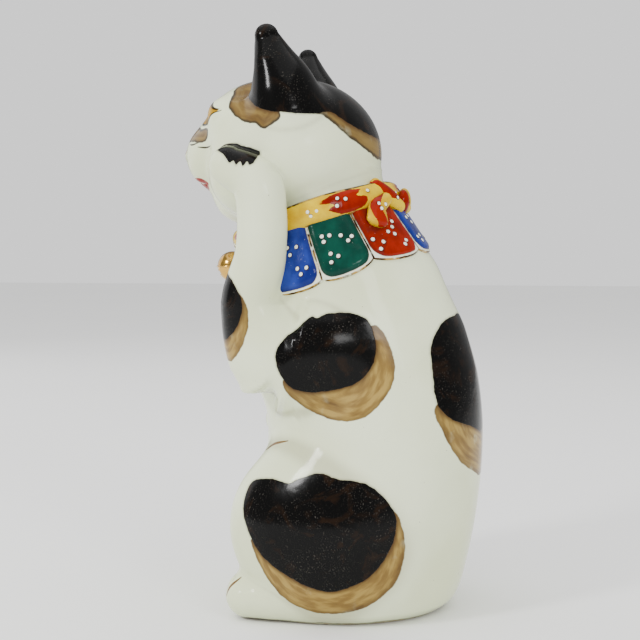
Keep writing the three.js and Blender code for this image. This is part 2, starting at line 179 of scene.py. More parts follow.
class Limb(Form):
    """A round-ended limb along a smooth curve, oval across."""

    def __init__(self, stations: Sequence[Sequence[float]], side: Sequence[float] = (1, 0, 0)) -> None:
        """Runs the limb through its stations.

        Args:
            stations: Rows of x, y, z, half width along side and half thickness square to it.
            side: The direction that the width is measured along.
        """
        rows = smooth_line(stations, 401)
        self.line, self.wide, self.thick = rows[:, :3], rows[:, 3], rows[:, 4]
        self.run = np.gradient(self.line, axis=0)
        self.side = np.array(side, float) / np.linalg.norm(side)
        reach = rows[:, 3:].max(axis=1)[:, None]
        self.low, self.high = (self.line - reach).min(0), (self.line + reach).max(0)

    def distance(self, p: np.ndarray) -> np.ndarray:
        """The signed distance of each point, negative inside."""
        last = len(self.line) - 1
        marks = np.arange(0, last + 1, 20)
        gaps = np.stack([((p - self.line[m]) ** 2).sum(1) for m in marks])
        at = marks[gaps.argmin(0)].astype(float)
        for _ in range(5):
            low = np.minimum(at.astype(int), last - 1)
            share = (at - low)[:, None]
            middle = self.line[low] * (1 - share) + self.line[low + 1] * share
            run = self.run[low] * (1 - share) + self.run[low + 1] * share
            offset = p - middle
            at = np.clip(at + (offset * run).sum(1) / (run * run).sum(1), 0, last)
        low = np.minimum(at.astype(int), last - 1)
        share = at - low
        offset = p - self.line[low] * (1 - share[:, None]) - self.line[low + 1] * share[:, None]
        wide = self.wide[low] * (1 - share) + self.wide[low + 1] * share
        thick = self.thick[low] * (1 - share) + self.thick[low + 1] * share
        sideways = offset @ self.side
        rest = np.linalg.norm(offset - sideways[:, None] * self.side, axis=1)
        size = np.hypot(sideways / wide, rest / thick)
        slope = np.maximum(np.hypot(sideways / wide**2, rest / thick**2), 1e-6)
        return size * (size - 1) / slope

    def place(self, p: Vector, grow: float = 0.0) -> tuple[Vector, float, float]:
        """Takes a point of the unit ball onto the limb.

        Args:
            p: A point of the unit ball, whose poles become the limb's ends.
            grow: How far the limb is grown outwards.

        Returns:
            The point on the limb, its share of the limb's length, and its share across the side.
        """
        lift = math.asin(max(-1.0, min(1.0, p.z)))
        quarter = math.pi / 4
        share = min(max(lift / quarter, -1), 1) * 0.5 + 0.5
        beyond = max(abs(lift) - quarter, 0) * 2
        i = share * (len(self.line) - 1)
        j = min(int(i), len(self.line) - 2)
        middle = self.line[j] + (self.line[j + 1] - self.line[j]) * (i - j)
        wide = float(np.interp(i, range(len(self.line)), self.wide)) + grow
        thick = float(np.interp(i, range(len(self.line)), self.thick)) + grow
        tangent = self.line[j + 1] - self.line[j]
        tangent = tangent / np.linalg.norm(tangent)
        across = self.side - (self.side @ tangent) * tangent
        across = across / np.linalg.norm(across)
        third = np.cross(tangent, across)
        flat = math.hypot(p.x, p.y) or 1.0
        x, y = p.x / flat * math.cos(beyond), p.y / flat * math.cos(beyond)
        out = math.copysign(math.sin(beyond), lift) * min(wide, thick)
        return Vector(middle + across * x * wide + third * y * thick + tangent * out), share, x

    def add_to(self, bm: bmesh.types.BMesh, grow: float = 0.0, around: int = 32, along: int = 64) -> None:
        """Adds the limb's mesh.

        Args:
            bm: The mesh to add to.
            grow: How far the limb is grown outwards.
            around: How many segments it has around.
            along: How many segments it has along.
        """
        made = bmesh.ops.create_uvsphere(bm, u_segments=around, v_segments=along, radius=1)
        for vert in made["verts"]:
            vert.co = self.place(vert.co, grow)[0]


@dataclass
class Torso(Form):
    """The seated body, as oval sections up to the neck."""

    width: float = 108.0
    depth: float = 108.0
    height: float = 206.0
    collar_drop: float = 18.5
    collar_tilt: float = 18.0
    sections: tuple[tuple[float, float, float, float], ...] = (
        (0.0, 0.01, 0.86, 0.76), (0.025, 0.05, 0.94, 0.87), (0.07, 0.09, 0.975, 0.96),
        (0.2, 0.2, 0.97, 1.02), (0.34, 0.28, 0.95, 0.98), (0.45, 0.28, 0.95, 0.93),
        (0.55, 0.17, 1.01, 0.91), (0.64, 0.05, 1.03, 0.9), (0.72, -0.03, 0.97, 0.88),
        (0.79, -0.06, 0.88, 0.85), (0.85, -0.1, 0.76, 0.79), (0.9, -0.13, 0.66, 0.73),
        (0.95, -0.17, 0.57, 0.67), (1.0, -0.21, 0.52, 0.6),
    )

    def __post_init__(self) -> None:
        """Works out the sections' curves and the collar's directions."""
        line = smooth_line([(0, s[1] * self.depth / 2, s[0] * self.height) for s in self.sections], 400)
        girth = smooth_line([(s[3] * self.width / 2, s[2] * self.depth / 2, 0) for s in self.sections], 400)
        self.up, self.middle = line[:, 2], line[:, 1]
        self.half_wide, self.half_deep = girth[:, 0], girth[:, 1]
        self.low = np.array([-60.0, -60.0, -4.0])
        self.high = np.array([60.0, 75.0, self.height])
        tilt = math.radians(self.collar_tilt)
        self.back = np.array([0, math.cos(tilt), math.sin(tilt)])
        self.rise = np.array([0, -math.sin(tilt), math.cos(tilt)])
        self.level = self.height - self.collar_drop

    def section(self, z: np.ndarray) -> tuple[np.ndarray, np.ndarray, np.ndarray]:
        """The middle, half width and half depth at each level."""
        return tuple(np.interp(z, self.up, row) for row in (self.middle, self.half_wide, self.half_deep))

    def distance(self, p: np.ndarray) -> np.ndarray:
        """The signed distance of each point, negative inside."""
        middle, wide, deep = self.section(p[:, 2])
        x, y = p[:, 0] / wide, (p[:, 1] - middle) / deep
        size = np.hypot(x, y)
        slope = np.maximum(np.hypot(x / wide, y / deep), 1e-6)
        return np.maximum(size * (size - 1) / slope, p[:, 2] - self.height)

    def add_to(self, bm: bmesh.types.BMesh, grow: float, low: float, high: float, rings: int) -> None:
        """Adds a length of the torso as a closed loft.

        Args:
            bm: The mesh to add to.
            grow: How far every section is grown outwards.
            low: The loft's lowest level.
            high: The loft's highest level.
            rings: How many rings it has.
        """
        loft = bmesh.new()
        bmesh.ops.create_cone(
            loft, cap_ends=True, segments=96, radius1=1, radius2=1, depth=1, matrix=Matrix.Translation((0, 0, 0.5))
        )
        upright = [e for e in loft.edges if abs(e.verts[0].co.z - e.verts[1].co.z) > 0.5]
        bmesh.ops.subdivide_edges(loft, edges=upright, cuts=rings, use_grid_fill=True)
        for vert in loft.verts:
            level = low + vert.co.z * (high - low)
            middle, wide, deep = (float(v[0]) for v in self.section(np.array([max(level, 0.0)])))
            vert.co = (vert.co.x * (wide + grow), middle + vert.co.y * (deep + grow), level)
        mesh = bpy.data.meshes.new("loft")
        loft.to_mesh(mesh)
        loft.free()
        bm.from_mesh(mesh)
        bpy.data.meshes.remove(mesh)

    def neck(self, turn: np.ndarray, drop: np.ndarray, outward: np.ndarray) -> np.ndarray:
        """Points over the neck's skin, in the collar's tilted frame.

        Args:
            turn: Turns about the collar's axis from the cat's left, in radians.
            drop: Drops below the collar's plane.
            outward: Distances out of the skin.

        Returns:
            The points, one row each.
        """
        turn, drop, outward = np.broadcast_arrays(*(np.atleast_1d(np.asarray(v, float)) for v in (turn, drop, outward)))
        along = np.sin(turn)[:, None] * self.back
        along[:, 0] = np.cos(turn)
        start = np.array([0, 0, self.level]) - drop[:, None] * self.rise
        start = start + np.interp(start[:, 2], self.up, self.middle)[:, None] * self.back
        low, high = np.zeros(len(turn)), np.full(len(turn), self.width)
        for _ in range(26):
            reach = (low + high) / 2
            p = start + reach[:, None] * along
            middle, wide, deep = self.section(p[:, 2])
            inside = np.hypot(p[:, 0] / wide, (p[:, 1] - middle) / deep) < 1
            low, high = np.where(inside, reach, low), np.where(inside, high, reach)
        return start + (low + outward)[:, None] * along


# ---- The figure's forms -----------------------------------------------------------------------

LEFT, RIGHT = 1, -1
TORSO = Torso()


def stations_of(girth: float, rows: Sequence[Sequence[float]]) -> list[tuple[float, ...]]:
    """Limb stations from places on the torso and sizes as shares of a girth.

    Args:
        girth: The limb's girth.
        rows: Rows of x, y and z as shares of the torso's half width, half depth and height, then two shares.

    Returns:
        Rows of x, y, z, half width and half thickness.
    """
    half = girth / 2
    return [
        (x * TORSO.width / 2, y * TORSO.depth / 2, z * TORSO.height, wide * half, thick * half)
        for x, y, z, wide, thick in rows
    ]


@dataclass
class Head:
    """The head: skull, brow, muzzle, chin, cheeks and ears."""

    half: tuple[float, float, float] = (49.0, 40.0, 36.0)
    middle: tuple[float, float, float] = (0.0, -22.5, 214.5)
    ear_height: float = 38.0
    ear_width: float = 44.0
    ear_spread: float = 31.0
    lobes: tuple[tuple[float, ...], ...] = (
        (0, 0, 0, 1, 1, 1), (0, -0.39, 0.36, 0.78, 0.68, 0.6), (0, -0.89, 0, 0.46, 0.47, 0.5),
        (0, -0.59, -0.56, 0.4, 0.42, 0.36), (0.5, -0.36, -0.28, 0.46, 0.52, 0.56),
        (-0.5, -0.36, -0.28, 0.46, 0.52, 0.56),
    )

    def balls(self) -> list[Ball]:
        """The head's lobes."""
        half, middle = np.array(self.half), np.array(self.middle)
        return [Ball(middle + half * row[:3], half * row[3:]) for row in self.lobes]

    def ear_point(self, side: int, up: float, out: float, forward: float) -> tuple[float, float, float]:
        """A place in an ear, as shares of its height, width and depth from its root."""
        depth = 32.0 if side == LEFT else 28.0
        x = side * (self.ear_spread + out * self.ear_width)
        return x, self.middle[1] + 0.1 * self.half[1] - forward * depth, self.middle[2] + 18 + up * self.ear_height

    def ear(self, side: int) -> Limb:
        """One ear, without its hollow."""
        depth = 32.0 if side == LEFT else 28.0
        rows = ((0, 0, 0, 0.46, 0.54), (0.33, 0.035, 0.1, 0.4, 0.45),
                (0.64, 0.085, 0.21, 0.27, 0.29), (0.87, 0.12, 0.28, 0.13, 0.17))
        return Limb([(*self.ear_point(side, *r[:3]), r[3] * self.ear_width, r[4] * depth) for r in rows])

    def ear_hollow(self, side: int) -> Ball:
        """The hollow in the front of one ear."""
        depth = 32.0 if side == LEFT else 28.0
        half = (0.26 * self.ear_width, 0.34 * depth, 0.36 * self.ear_height)
        return Ball(self.ear_point(side, 0.5, 0.07, 0.7), half)


HEAD = Head()


@dataclass
class Limbs:
    """The haunches, feet, arms and tail."""

    arm_girth: float = 22.4
    tail_girth: float = 17.0
    foot: tuple[float, float] = (15.0, 11.0)

    def haunch(self, side: int) -> Ball:
        """One haunch."""
        return Ball((side * 32.4, -2.7, 42.2), (28.6, 43.2, 41.2))

    def hind_foot(self, side: int) -> Limb:
        """One hind foot, flat on the floor."""
        wide, thick = self.foot
        rows = ((35.6, -5.4, 9.7, 0.9, 0.88), (37.3, -21.6, 10.8, 1, 1), (36.7, -35.6, 10.8, 1, 1))
        return Limb([(side * x, y, z, w * wide, t * thick) for x, y, z, w, t in rows])

    def raised_arm(self) -> Limb:
        """The raised left arm."""
        return Limb(stations_of(self.arm_girth, (
            (0.64, -0.1, 0.6, 2.15, 2.4), (0.7, -0.36, 0.59, 2.05, 2.25), (0.84, -0.6, 0.705, 1.22, 1.22),
            (0.9, -0.5, 0.81, 1.03, 1.03), (0.93, -0.48, 0.9, 0.98, 1), (0.92, -0.53, 0.965, 1.03, 1),
            (0.89, -0.77, 1.003, 0.98, 0.8),
        )))

    def lowered_arm(self) -> Limb:
        """The lowered right arm, its paw on the knee."""
        return Limb(stations_of(self.arm_girth, (
            (-0.66, -0.02, 0.68, 1.5, 1.8), (-0.78, -0.28, 0.56, 1.35, 1.5),
            (-0.68, -0.56, 0.46, 1.07, 1.07), (-0.5, -0.64, 0.409, 1.07, 1),
        )))

    def tail(self) -> Limb:
        """The short tail along the right side of the rump."""
        return Limb(stations_of(self.tail_girth, (
            (-0.78, 0.68, 0.05, 0.65, 0.7), (-0.92, 0.42, 0.05, 0.9, 0.95),
            (-1.02, 0.12, 0.055, 1, 1.05), (-1.04, -0.16, 0.06, 0.95, 1),
        )), side=(0, 0, 1))


LIMBS = Limbs()


class Plane(Enum):
    """The side of the figure that a painted shape is laid on, with the two axes it is drawn in."""

    LEFT = (1, 2, 0, 1)
    RIGHT = (1, 2, 0, -1)
    BACK = (0, 2, 1, 1)
    FRONT = (0, 2, 1, -1)

    def flat(self, p: np.ndarray) -> np.ndarray:
        """The two coordinates that the shape is drawn in."""
        return p[:, self.value[:2]]

    def behind(self, p: np.ndarray, start: float) -> np.ndarray:
        """How far points are past the plane that ends the shape, away from its side."""
        axis, sign = self.value[2:]
        return start - sign * p[:, axis]


@dataclass(frozen=True)
class Patch:
    """A painted patch with a smooth outline, in millimetres."""

    plane: Plane
    outline: tuple[tuple[float, float], ...]
    start: float = 4.0
    on: str = ""

    def distance(self, p: np.ndarray) -> np.ndarray:
        """The signed distance of points from the patch's edge, negative inside."""
        line = smooth_line(self.outline, 10 * len(self.outline), closed=True)
        flat = self.plane.flat(p)
        out = np.full(len(p), FAR)
        close = np.all((flat > line.min(0) - 12) & (flat < line.max(0) + 12), axis=1)
        if not close.any():
            return out
        q = flat[close]
        d = np.full(len(q), FAR)
        inside = np.zeros(len(q), bool)
        for a, b in zip(line, np.roll(line, -1, axis=0)):
            along = b - a
            share = np.clip(((q - a) @ along) / max(along @ along, 1e-9), 0, 1)
            d = np.minimum(d, np.linalg.norm(q - a - share[:, None] * along, axis=1))
            if abs(along[1]) > 1e-12:
                crosses = (a[1] > q[:, 1]) != (b[1] > q[:, 1])
                inside ^= crosses & (q[:, 0] < a[0] + (q[:, 1] - a[1]) * along[0] / along[1])
        out[close] = np.maximum(np.where(inside, -d, d), self.plane.behind(p[close], self.start))
        if self.on == "arm":
            out[close] = np.maximum(out[close], LIMBS.raised_arm().near(p[close]) - 1.6)
        return out


class EarCoat:
    """The black over an ear and its root, whatever its shape."""

    def __init__(self, side: int) -> None:
        """Keeps the ear.

        Args:
            side: The side of the head that it is on.
        """
        self.ear = HEAD.ear(side)

    def distance(self, p: np.ndarray) -> np.ndarray:
        """The signed distance of points from the coat's edge, negative inside."""
        return np.maximum(self.ear.near(p) - 0.8, 237.5 - p[:, 2])


@dataclass(frozen=True)
class Blob:
    """A painted patch that wraps round a limb, as a ball in space."""

    middle: tuple[float, float, float]
    half: tuple[float, float, float]

    def distance(self, p: np.ndarray) -> np.ndarray:
        """The signed distance of points from the patch's edge, negative inside."""
        return Ball(self.middle, self.half).near(p)


@dataclass(frozen=True)
class Stroke:
    """A brush stroke along a smooth line, in millimetres."""

    plane: Plane
    line: tuple[tuple[float, float], ...]
    width: float = 0.9
    start: float = 4.0
    taper: float = 0.6

    def distance(self, p: np.ndarray) -> np.ndarray:
        """The signed distance of points from the stroke's edge, negative inside."""
        line = smooth_line(self.line, 8 * len(self.line))
        flat = self.plane.flat(p)
        out = np.full(len(p), FAR)
        close = np.all((flat > line.min(0) - 6) & (flat < line.max(0) + 6), axis=1)
        if close.any():
            d = stroke_distance(flat[close], line)
            ends = np.minimum(*(np.linalg.norm(flat[close] - e, axis=1) for e in (line[0], line[-1])))
            length = np.linalg.norm(np.diff(line, axis=0), axis=1).sum()
            half = self.width / 2 * (1 - self.taper + self.taper * np.clip(ends / (0.35 * length), 0, 1))
            out[close] = np.maximum(d - half, self.plane.behind(p[close], self.start))
        return out


def mirrored(outline: Sequence[tuple[float, float]], dy: float = 0.0, dz: float = 0.0,
             size: float = 1.0) -> tuple[tuple[float, float], ...]:
    """An outline moved and resized about its own middle, for a patch on the other side."""
    middle = np.array(outline, float).mean(0)
    return tuple(map(tuple, (np.array(outline, float) - middle) * size + middle + (dy, dz)))


THIGH = ((-35, 52), (-32, 64), (-22, 67), (-12, 66), (-9, 67.5), (2, 71), (9, 69), (22, 67), (31, 60), (35, 52),
         (33.5, 40), (26, 28), (19, 23), (6, 19), (-10, 24), (-23, 32), (-29, 39))
THIGH_WASH = ((-30, 40), (-28, 33), (-23, 23), (-14, 13), (-2, 8), (11, 8), (23, 12), (34, 22), (38.5, 36),
              (38, 46), (34, 55), (26, 50), (10, 32), (-10, 34))
FLANK = ((-17, 124), (-14, 130), (-8, 135), (-2, 140), (0, 139.3), (4, 141), (12, 141.5), (20, 139), (24, 132),
         (24.5, 121), (19, 112), (9, 108), (-3, 106.5), (-11, 109), (-16, 117))
FLANK_WASH = ((-14, 112), (-13, 106), (-6, 99), (6, 94), (16, 94), (24, 98), (31, 107), (33, 116), (31, 126),
              (24, 136), (16, 128), (4, 116))
RUMP = ((8, 139), (22, 136), (31, 127), (33.5, 117), (35, 105), (34, 98), (29, 93), (18, 89), (2, 85), (-9, 89),
        (-17, 100), (-19, 116), (-14, 131), (-3, 139))
RUMP_WASH = ((36, 99), (35, 90), (31, 80), (25, 73), (15, 68), (2, 64), (-10, 68), (-17, 78), (-21, 92),
             (-19, 102), (0, 105), (20, 108))
CAP = ((-37, 246), (-35, 238), (-31, 234), (-25, 231), (-13, 229.3), (-3, 229.5), (1, 231), (9, 226), (15, 222.5),
       (24, 219), (34, 216), (34, 300), (-60, 300), (-60, 262), (-46, 256))
FRINGE = ((-4, 230), (-1, 229), (8, 221), (14, 215.5), (18, 211), (30, 203), (34, 214), (26, 224), (12, 230),
          (2, 234))
BROW = ((-46, 240), (-45.5, 234), (-39, 228), (-34, 226), (-29, 225), (-26, 222.6), (-21, 224.5), (-17, 228),
        (-22, 236), (-30, 243), (-39, 248), (-46, 246))
PAW = ((-53, 214.5), (-46, 219), (-39.5, 221.5), (-33, 220.4), (-28.8, 216.4), (-26.8, 211.5), (-27.2, 207.4),
       (-28.8, 206), (-30.2, 207.6), (-31.6, 205.6), (-33.2, 207.6), (-34.8, 206), (-36.4, 208.2), (-38, 207.2),
       (-41.5, 211.2), (-47, 213.6))

PAINT: dict[str, tuple] = {
    "black": (
        Patch(Plane.LEFT, THIGH), Patch(Plane.LEFT, FLANK, start=20), Patch(Plane.BACK, RUMP, start=2),
        Patch(Plane.LEFT, CAP, start=-0.5), Patch(Plane.RIGHT, CAP, start=-0.5), EarCoat(LEFT), EarCoat(RIGHT),
        Patch(Plane.LEFT, PAW, start=30, on="arm"), Blob((51, -44, 144), (13.5, 14, 15)),
        Patch(Plane.RIGHT, mirrored(THIGH, 2, 6, 0.82)), Patch(Plane.RIGHT, mirrored(FLANK, 16, -4, 0.95)),
        Patch(Plane.FRONT, ((-12, 92), (-2, 98), (8, 94), (12, 84), (6, 74), (-5, 72), (-12, 80)), start=10),
    ),
    "wash": (
        Patch(Plane.LEFT, THIGH_WASH), Patch(Plane.LEFT, FLANK_WASH), Patch(Plane.BACK, RUMP_WASH, start=2),
        Patch(Plane.LEFT, FRINGE, start=-0.5), Patch(Plane.RIGHT, FRINGE, start=-0.5),
        Patch(Plane.LEFT, BROW, start=14), Blob((51.5, -43, 138), (14.5, 15.5, 19)),
        Patch(Plane.RIGHT, mirrored(THIGH_WASH, 2, 7, 0.82)), Patch(Plane.RIGHT, mirrored(FLANK_WASH, 16, -4, 0.95)),
        Patch(Plane.FRONT, ((-13, 84), (0, 88), (12, 90), (15, 78), (9, 66), (-4, 64), (-13, 72)), start=10),
        Patch(Plane.FRONT, ((-7, 231), (0, 234), (9, 229), (17, 226.5), (25, 225.5), (23.5, 220), (14, 220.5), (5, 221.5), (-5, 223)),
              start=48),
    ),
    "red": (
        Patch(Plane.FRONT, ((-4.5, 217), (0, 218), (4.5, 217), (2.5, 213.5), (0, 212), (-2.5, 213.5)), start=60),
        Stroke(Plane.FRONT, ((-14, 202.4), (-9.5, 199.6), (-4, 199.8), (0, 202.8), (4, 199.8), (9.5, 199.6), (14, 202.4)),
               4.0, start=40),
        *(Patch(plane, ((-75, 203), (-69.5, 203.6), (-65.4, 202.8), (-62.6, 200.8), (-65, 198.6), (-69, 198),
                        (-75, 199)), start=8) for plane in (Plane.LEFT, Plane.RIGHT)),
        Ball((HEAD.ear_point(LEFT, 0.46, 0.07, 0.62)), (9.4, 8.0, 12.0)),
        Ball((HEAD.ear_point(RIGHT, 0.46, 0.07, 0.62)), (9.4, 8.0, 12.0)),
    ),
    "yellow": tuple(
        Patch(Plane.FRONT, tuple((side * x, z) for x, z in (
            (11, 231), (15, 235), (21, 237.2), (27.5, 236.4), (33, 233), (28, 229.6), (21, 228.4), (15, 229))),
            start=38) for side in (LEFT, RIGHT)
    ),
    "line": (
        *(Stroke(Plane.FRONT, tuple((side * x, z) for x, z in (
            (10, 230.6), (15, 235.3), (21, 237.6), (27.5, 236.8), (32.6, 233.6))), 1.5, start=34)
            for side in (LEFT, RIGHT)),
        *(Stroke(Plane.FRONT, tuple((side * x, z) for x, z in (
            (10, 230.6), (15, 228.6), (21, 227.9), (28, 229.2), (33.6, 233))), 1.1, start=34)
            for side in (LEFT, RIGHT)),
        *(Patch(Plane.FRONT, tuple((side * x, z) for x, z in (
            (18.6, 233), (21, 237), (23.4, 233), (21, 228.6))), start=38) for side in (LEFT, RIGHT)),
        *(Stroke(Plane.FRONT, tuple((side * x, z) for x, z in row), 0.9, start=44)
            for side in (LEFT, RIGHT)
            for row in (((20.4, 217.6), (24, 217), (29, 217.4)), ((14, 219.4), (17, 219), (20, 219.6)))),
        Stroke(Plane.FRONT, ((0, 212.5), (0, 208), (0, 204.4)), 0.8, start=60),
        Stroke(Plane.LEFT, ((-48.5, 215), (-45, 216.4), (-41, 216.8)), 0.8, start=30),
    ),
    "gold": (
        Stroke(Plane.LEFT, ((-29, 77), (-24, 80.5), (-16, 83)), 1.0),
        Stroke(Plane.LEFT, ((-44.5, 11), (-42.5, 15.5), (-37.5, 20)), 1.0, start=25),
        *(Stroke(Plane.FRONT, ((side * x, 17), (side * (x + 0.3), 11), (side * x, 5)), 0.9, start=36, taper=0.8)
            for side in (LEFT, RIGHT) for x in (30.5, 37, 43.5)),
        *(Stroke(Plane.FRONT, ((x, 211), (x + 0.2, 205), (x, 200)), 0.8, start=44, taper=0.8)
            for x in (44.6, 49, 53)),
        *(Stroke(Plane.FRONT, ((x, 88), (x - 0.4, 82), (x, 77)), 0.8, start=38, taper=0.8)
            for x in (-30.5, -26, -21.5)),
    ),
}
FINE = ("line", "gold", "red", "yellow")


# ---- Mesh and material helpers ----------------------------------------------------------------


def coords(mesh: bpy.types.Mesh) -> np.ndarray:
    """A mesh's vertices, one row each."""
    rows = np.empty(len(mesh.vertices) * 3, np.float32)
    mesh.vertices.foreach_get("co", rows)
    return rows.reshape(-1, 3).astype(float)


def put_coords(mesh: bpy.types.Mesh, rows: np.ndarray) -> None:
    """Moves a mesh's vertices."""
    mesh.vertices.foreach_set("co", rows.astype(np.float32).ravel())
    mesh.update()


def put_values(mesh: bpy.types.Mesh, name: str, values: np.ndarray) -> None:
    """Keeps one number for each vertex under a name."""
    layer = mesh.attributes.get(name) or mesh.attributes.new(name, "FLOAT", "POINT")
    layer.data.foreach_set("value", values.astype(np.float32))


def object_from(bm: bmesh.types.BMesh, name: str) -> bpy.types.Object:
    """Turns a mesh in the making into an object in the scene, and frees it.

    Args:
        bm: The mesh in the making, in millimetres.
        name: The object's name.

    Returns:
        The object, still in millimetres.
    """
    mesh = bpy.data.meshes.new(name)
    bm.to_mesh(mesh)
    bm.free()
    made = bpy.data.objects.new(name, mesh)
    bpy.context.scene.collection.objects.link(made)
    return made


def settle(made: bpy.types.Object) -> bpy.types.Mesh:
    """Applies an object's modifiers.

    Args:
        made: The object, which is removed.

    Returns:
        The finished mesh.
    """
    mesh = bpy.data.meshes.new_from_object(made.evaluated_get(bpy.context.evaluated_depsgraph_get()))
    bpy.data.objects.remove(made)
    return mesh


def carve(base: bpy.types.Mesh, tool: bpy.types.Mesh, operation: str) -> bpy.types.Mesh:
    """Joins or cuts two closed meshes.

    Args:
        base: The mesh to work on.
        tool: The other mesh.
        operation: INTERSECT, DIFFERENCE or UNION.

    Returns:
        The result.
    """
    objects = [bpy.data.objects.new("carving", mesh) for mesh in (base, tool)]
    for made in objects:
        bpy.context.scene.collection.objects.link(made)
    step = objects[0].modifiers.new("carve", "BOOLEAN")
    step.operation, step.object, step.solver = operation, objects[1], "MANIFOLD"
    bpy.context.view_layer.update()
    mesh = settle(objects[0])
    bpy.data.objects.remove(objects[1])
    return mesh


def mesh_of(build: Callable[[bmesh.types.BMesh], object]) -> bpy.types.Mesh:
    """A mesh made by one function that adds to a mesh in the making."""
    bm = bmesh.new()
    build(bm)
    mesh = bpy.data.meshes.new("form")
    bm.to_mesh(mesh)
    bm.free()
    return mesh


def piece_from(mesh: bpy.types.Mesh, name: str, nodes: Sequence[str], slot: str,
               materials: Sequence[bpy.types.Material], smooth: bool = True) -> bpy.types.Object:
    """Makes a finished piece that stands for CAD nodes.

    Args:
        mesh: The piece's mesh, in millimetres.
        name: The piece's name.
        nodes: The CAD nodes that it replaces.
        slot: The record's material slot; not used.
        materials: Its materials, in order.
        smooth: Whether its faces are shaded smooth.

    Returns:
        The piece.
    """
    mesh.name = name
    mesh.transform(Matrix.Scale(MM, 4))
    if mesh.materials:
        mesh.materials.clear()
    for material in materials:
        mesh.materials.append(material)
    if smooth:
        mesh.shade_smooth()
    piece = bpy.data.objects.new(name, mesh)
    bpy.context.scene.collection.objects.link(piece)
    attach(piece, ROOT)
    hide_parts(*nodes)
    LOG.info("%s: %d faces, stands for %s", name, len(mesh.polygons), ", ".join(nodes))
    return piece


class Recipe:
    """A material in the making, with short ways to add its nodes."""

    def __init__(self, name: str) -> None:
        """Starts a material with one shader.

        Args:
            name: The material's name.
        """
        self.material = bpy.data.materials.new(name)
        self.material.use_nodes = True
        self.tree = self.material.node_tree
        self.tree.nodes.clear()
        out = self.tree.nodes.new("ShaderNodeOutputMaterial")
        self.shader = self.tree.nodes.new("ShaderNodeBsdfPrincipled")
        self.tree.links.new(self.shader.outputs[0], out.inputs[0])
        self.place = self.tree.nodes.new("ShaderNodeTexCoord").outputs["Object"]

    def join(self, value: object, socket: bpy.types.NodeSocket) -> None:
        """Links an output to a socket, or sets the socket's own value."""
        if isinstance(value, bpy.types.NodeSocket):
            self.tree.links.new(value, socket)
        else:
            socket.default_value = value

    def math(self, operation: str, *values: object) -> bpy.types.NodeSocket:
        """A math node's result."""
        node = self.tree.nodes.new("ShaderNodeMath")
        node.operation = operation
        for value, socket in zip(values, node.inputs):
            self.join(value, socket)
        return node.outputs[0]

    def value(self, name: str) -> bpy.types.NodeSocket:
        """A number kept on the mesh."""
        node = self.tree.nodes.new("ShaderNodeAttribute")
        node.attribute_name = name
        return node.outputs["Fac"]

    def noise(self, scale: float, detail: float = 3, distortion: float = 0,
              vector: bpy.types.NodeSocket | None = None, rough: float = 0.5) -> bpy.types.NodeSocket:
        """A noise value over the piece's own coordinates."""
        node = self.tree.nodes.new("ShaderNodeTexNoise")
        self.tree.links.new(vector or self.place, node.inputs["Vector"])
        for name, value in (("Scale", scale), ("Detail", detail), ("Roughness", rough), ("Distortion", distortion)):
            node.inputs[name].default_value = value
        return node.outputs["Fac"]

    def height(self) -> bpy.types.NodeSocket:
        """The height above the floor, in metres."""
        node = self.tree.nodes.new("ShaderNodeSeparateXYZ")
        self.tree.links.new(self.place, node.inputs[0])
        return node.outputs[2]

    def fade(self, value: object, start: float, end: float, low: float = 0.0, high: float = 1.0) -> bpy.types.NodeSocket:
        """A smooth step from low at start to high at end."""
        node = self.tree.nodes.new("ShaderNodeMapRange")
        node.interpolation_type = "SMOOTHSTEP"
        self.join(value, node.inputs["Value"])
        reach = (start, end, low, high) if start < end else (end, start, high, low)
        for name, number in zip(("From Min", "From Max", "To Min", "To Max"), reach):
            node.inputs[name].default_value = number
        return node.outputs["Result"]

    def blend(self, share: object, a: object, b: object) -> bpy.types.NodeSocket:
        """Colour a turning into colour b."""
        node = self.tree.nodes.new("ShaderNodeMix")
        node.data_type = "RGBA"
        self.join(share, node.inputs[0])
        self.join(a, node.inputs[6])
        self.join(b, node.inputs[7])
        return node.outputs[2]

    def mix(self, share: object, a: object, b: object) -> bpy.types.NodeSocket:
        """Number a turning into number b."""
        node = self.tree.nodes.new("ShaderNodeMix")
        self.join(share, node.inputs[0])
        self.join(a, node.inputs[2])
        self.join(b, node.inputs[3])
        return node.outputs[0]

    def bump(self, height: bpy.types.NodeSocket, depth: float, strength: float = 1.0) -> None:
        """Raises the surface by a height, in metres."""
        node = self.tree.nodes.new("ShaderNodeBump")
        node.inputs["Strength"].default_value = strength
        node.inputs["Distance"].default_value = depth
        self.tree.links.new(height, node.inputs["Height"])
        self.tree.links.new(node.outputs[0], self.shader.inputs["Normal"])

    def finish(self, colour: object, roughness: object, metallic: object = 0.0, coat: float = 0.0,
               specular: float = 0.12) -> bpy.types.Material:
        """Sets the shader and gives the material."""
        self.shader.inputs["Specular IOR Level"].default_value = specular
        self.join(colour, self.shader.inputs["Base Color"])
        self.join(roughness, self.shader.inputs["Roughness"])
        self.join(metallic, self.shader.inputs["Metallic"])
        self.shader.inputs["Coat Weight"].default_value = coat
        self.shader.inputs["Coat Roughness"].default_value = 0.04
        self.material.diffuse_color = self.shader.inputs["Base Color"].default_value
        return self.material


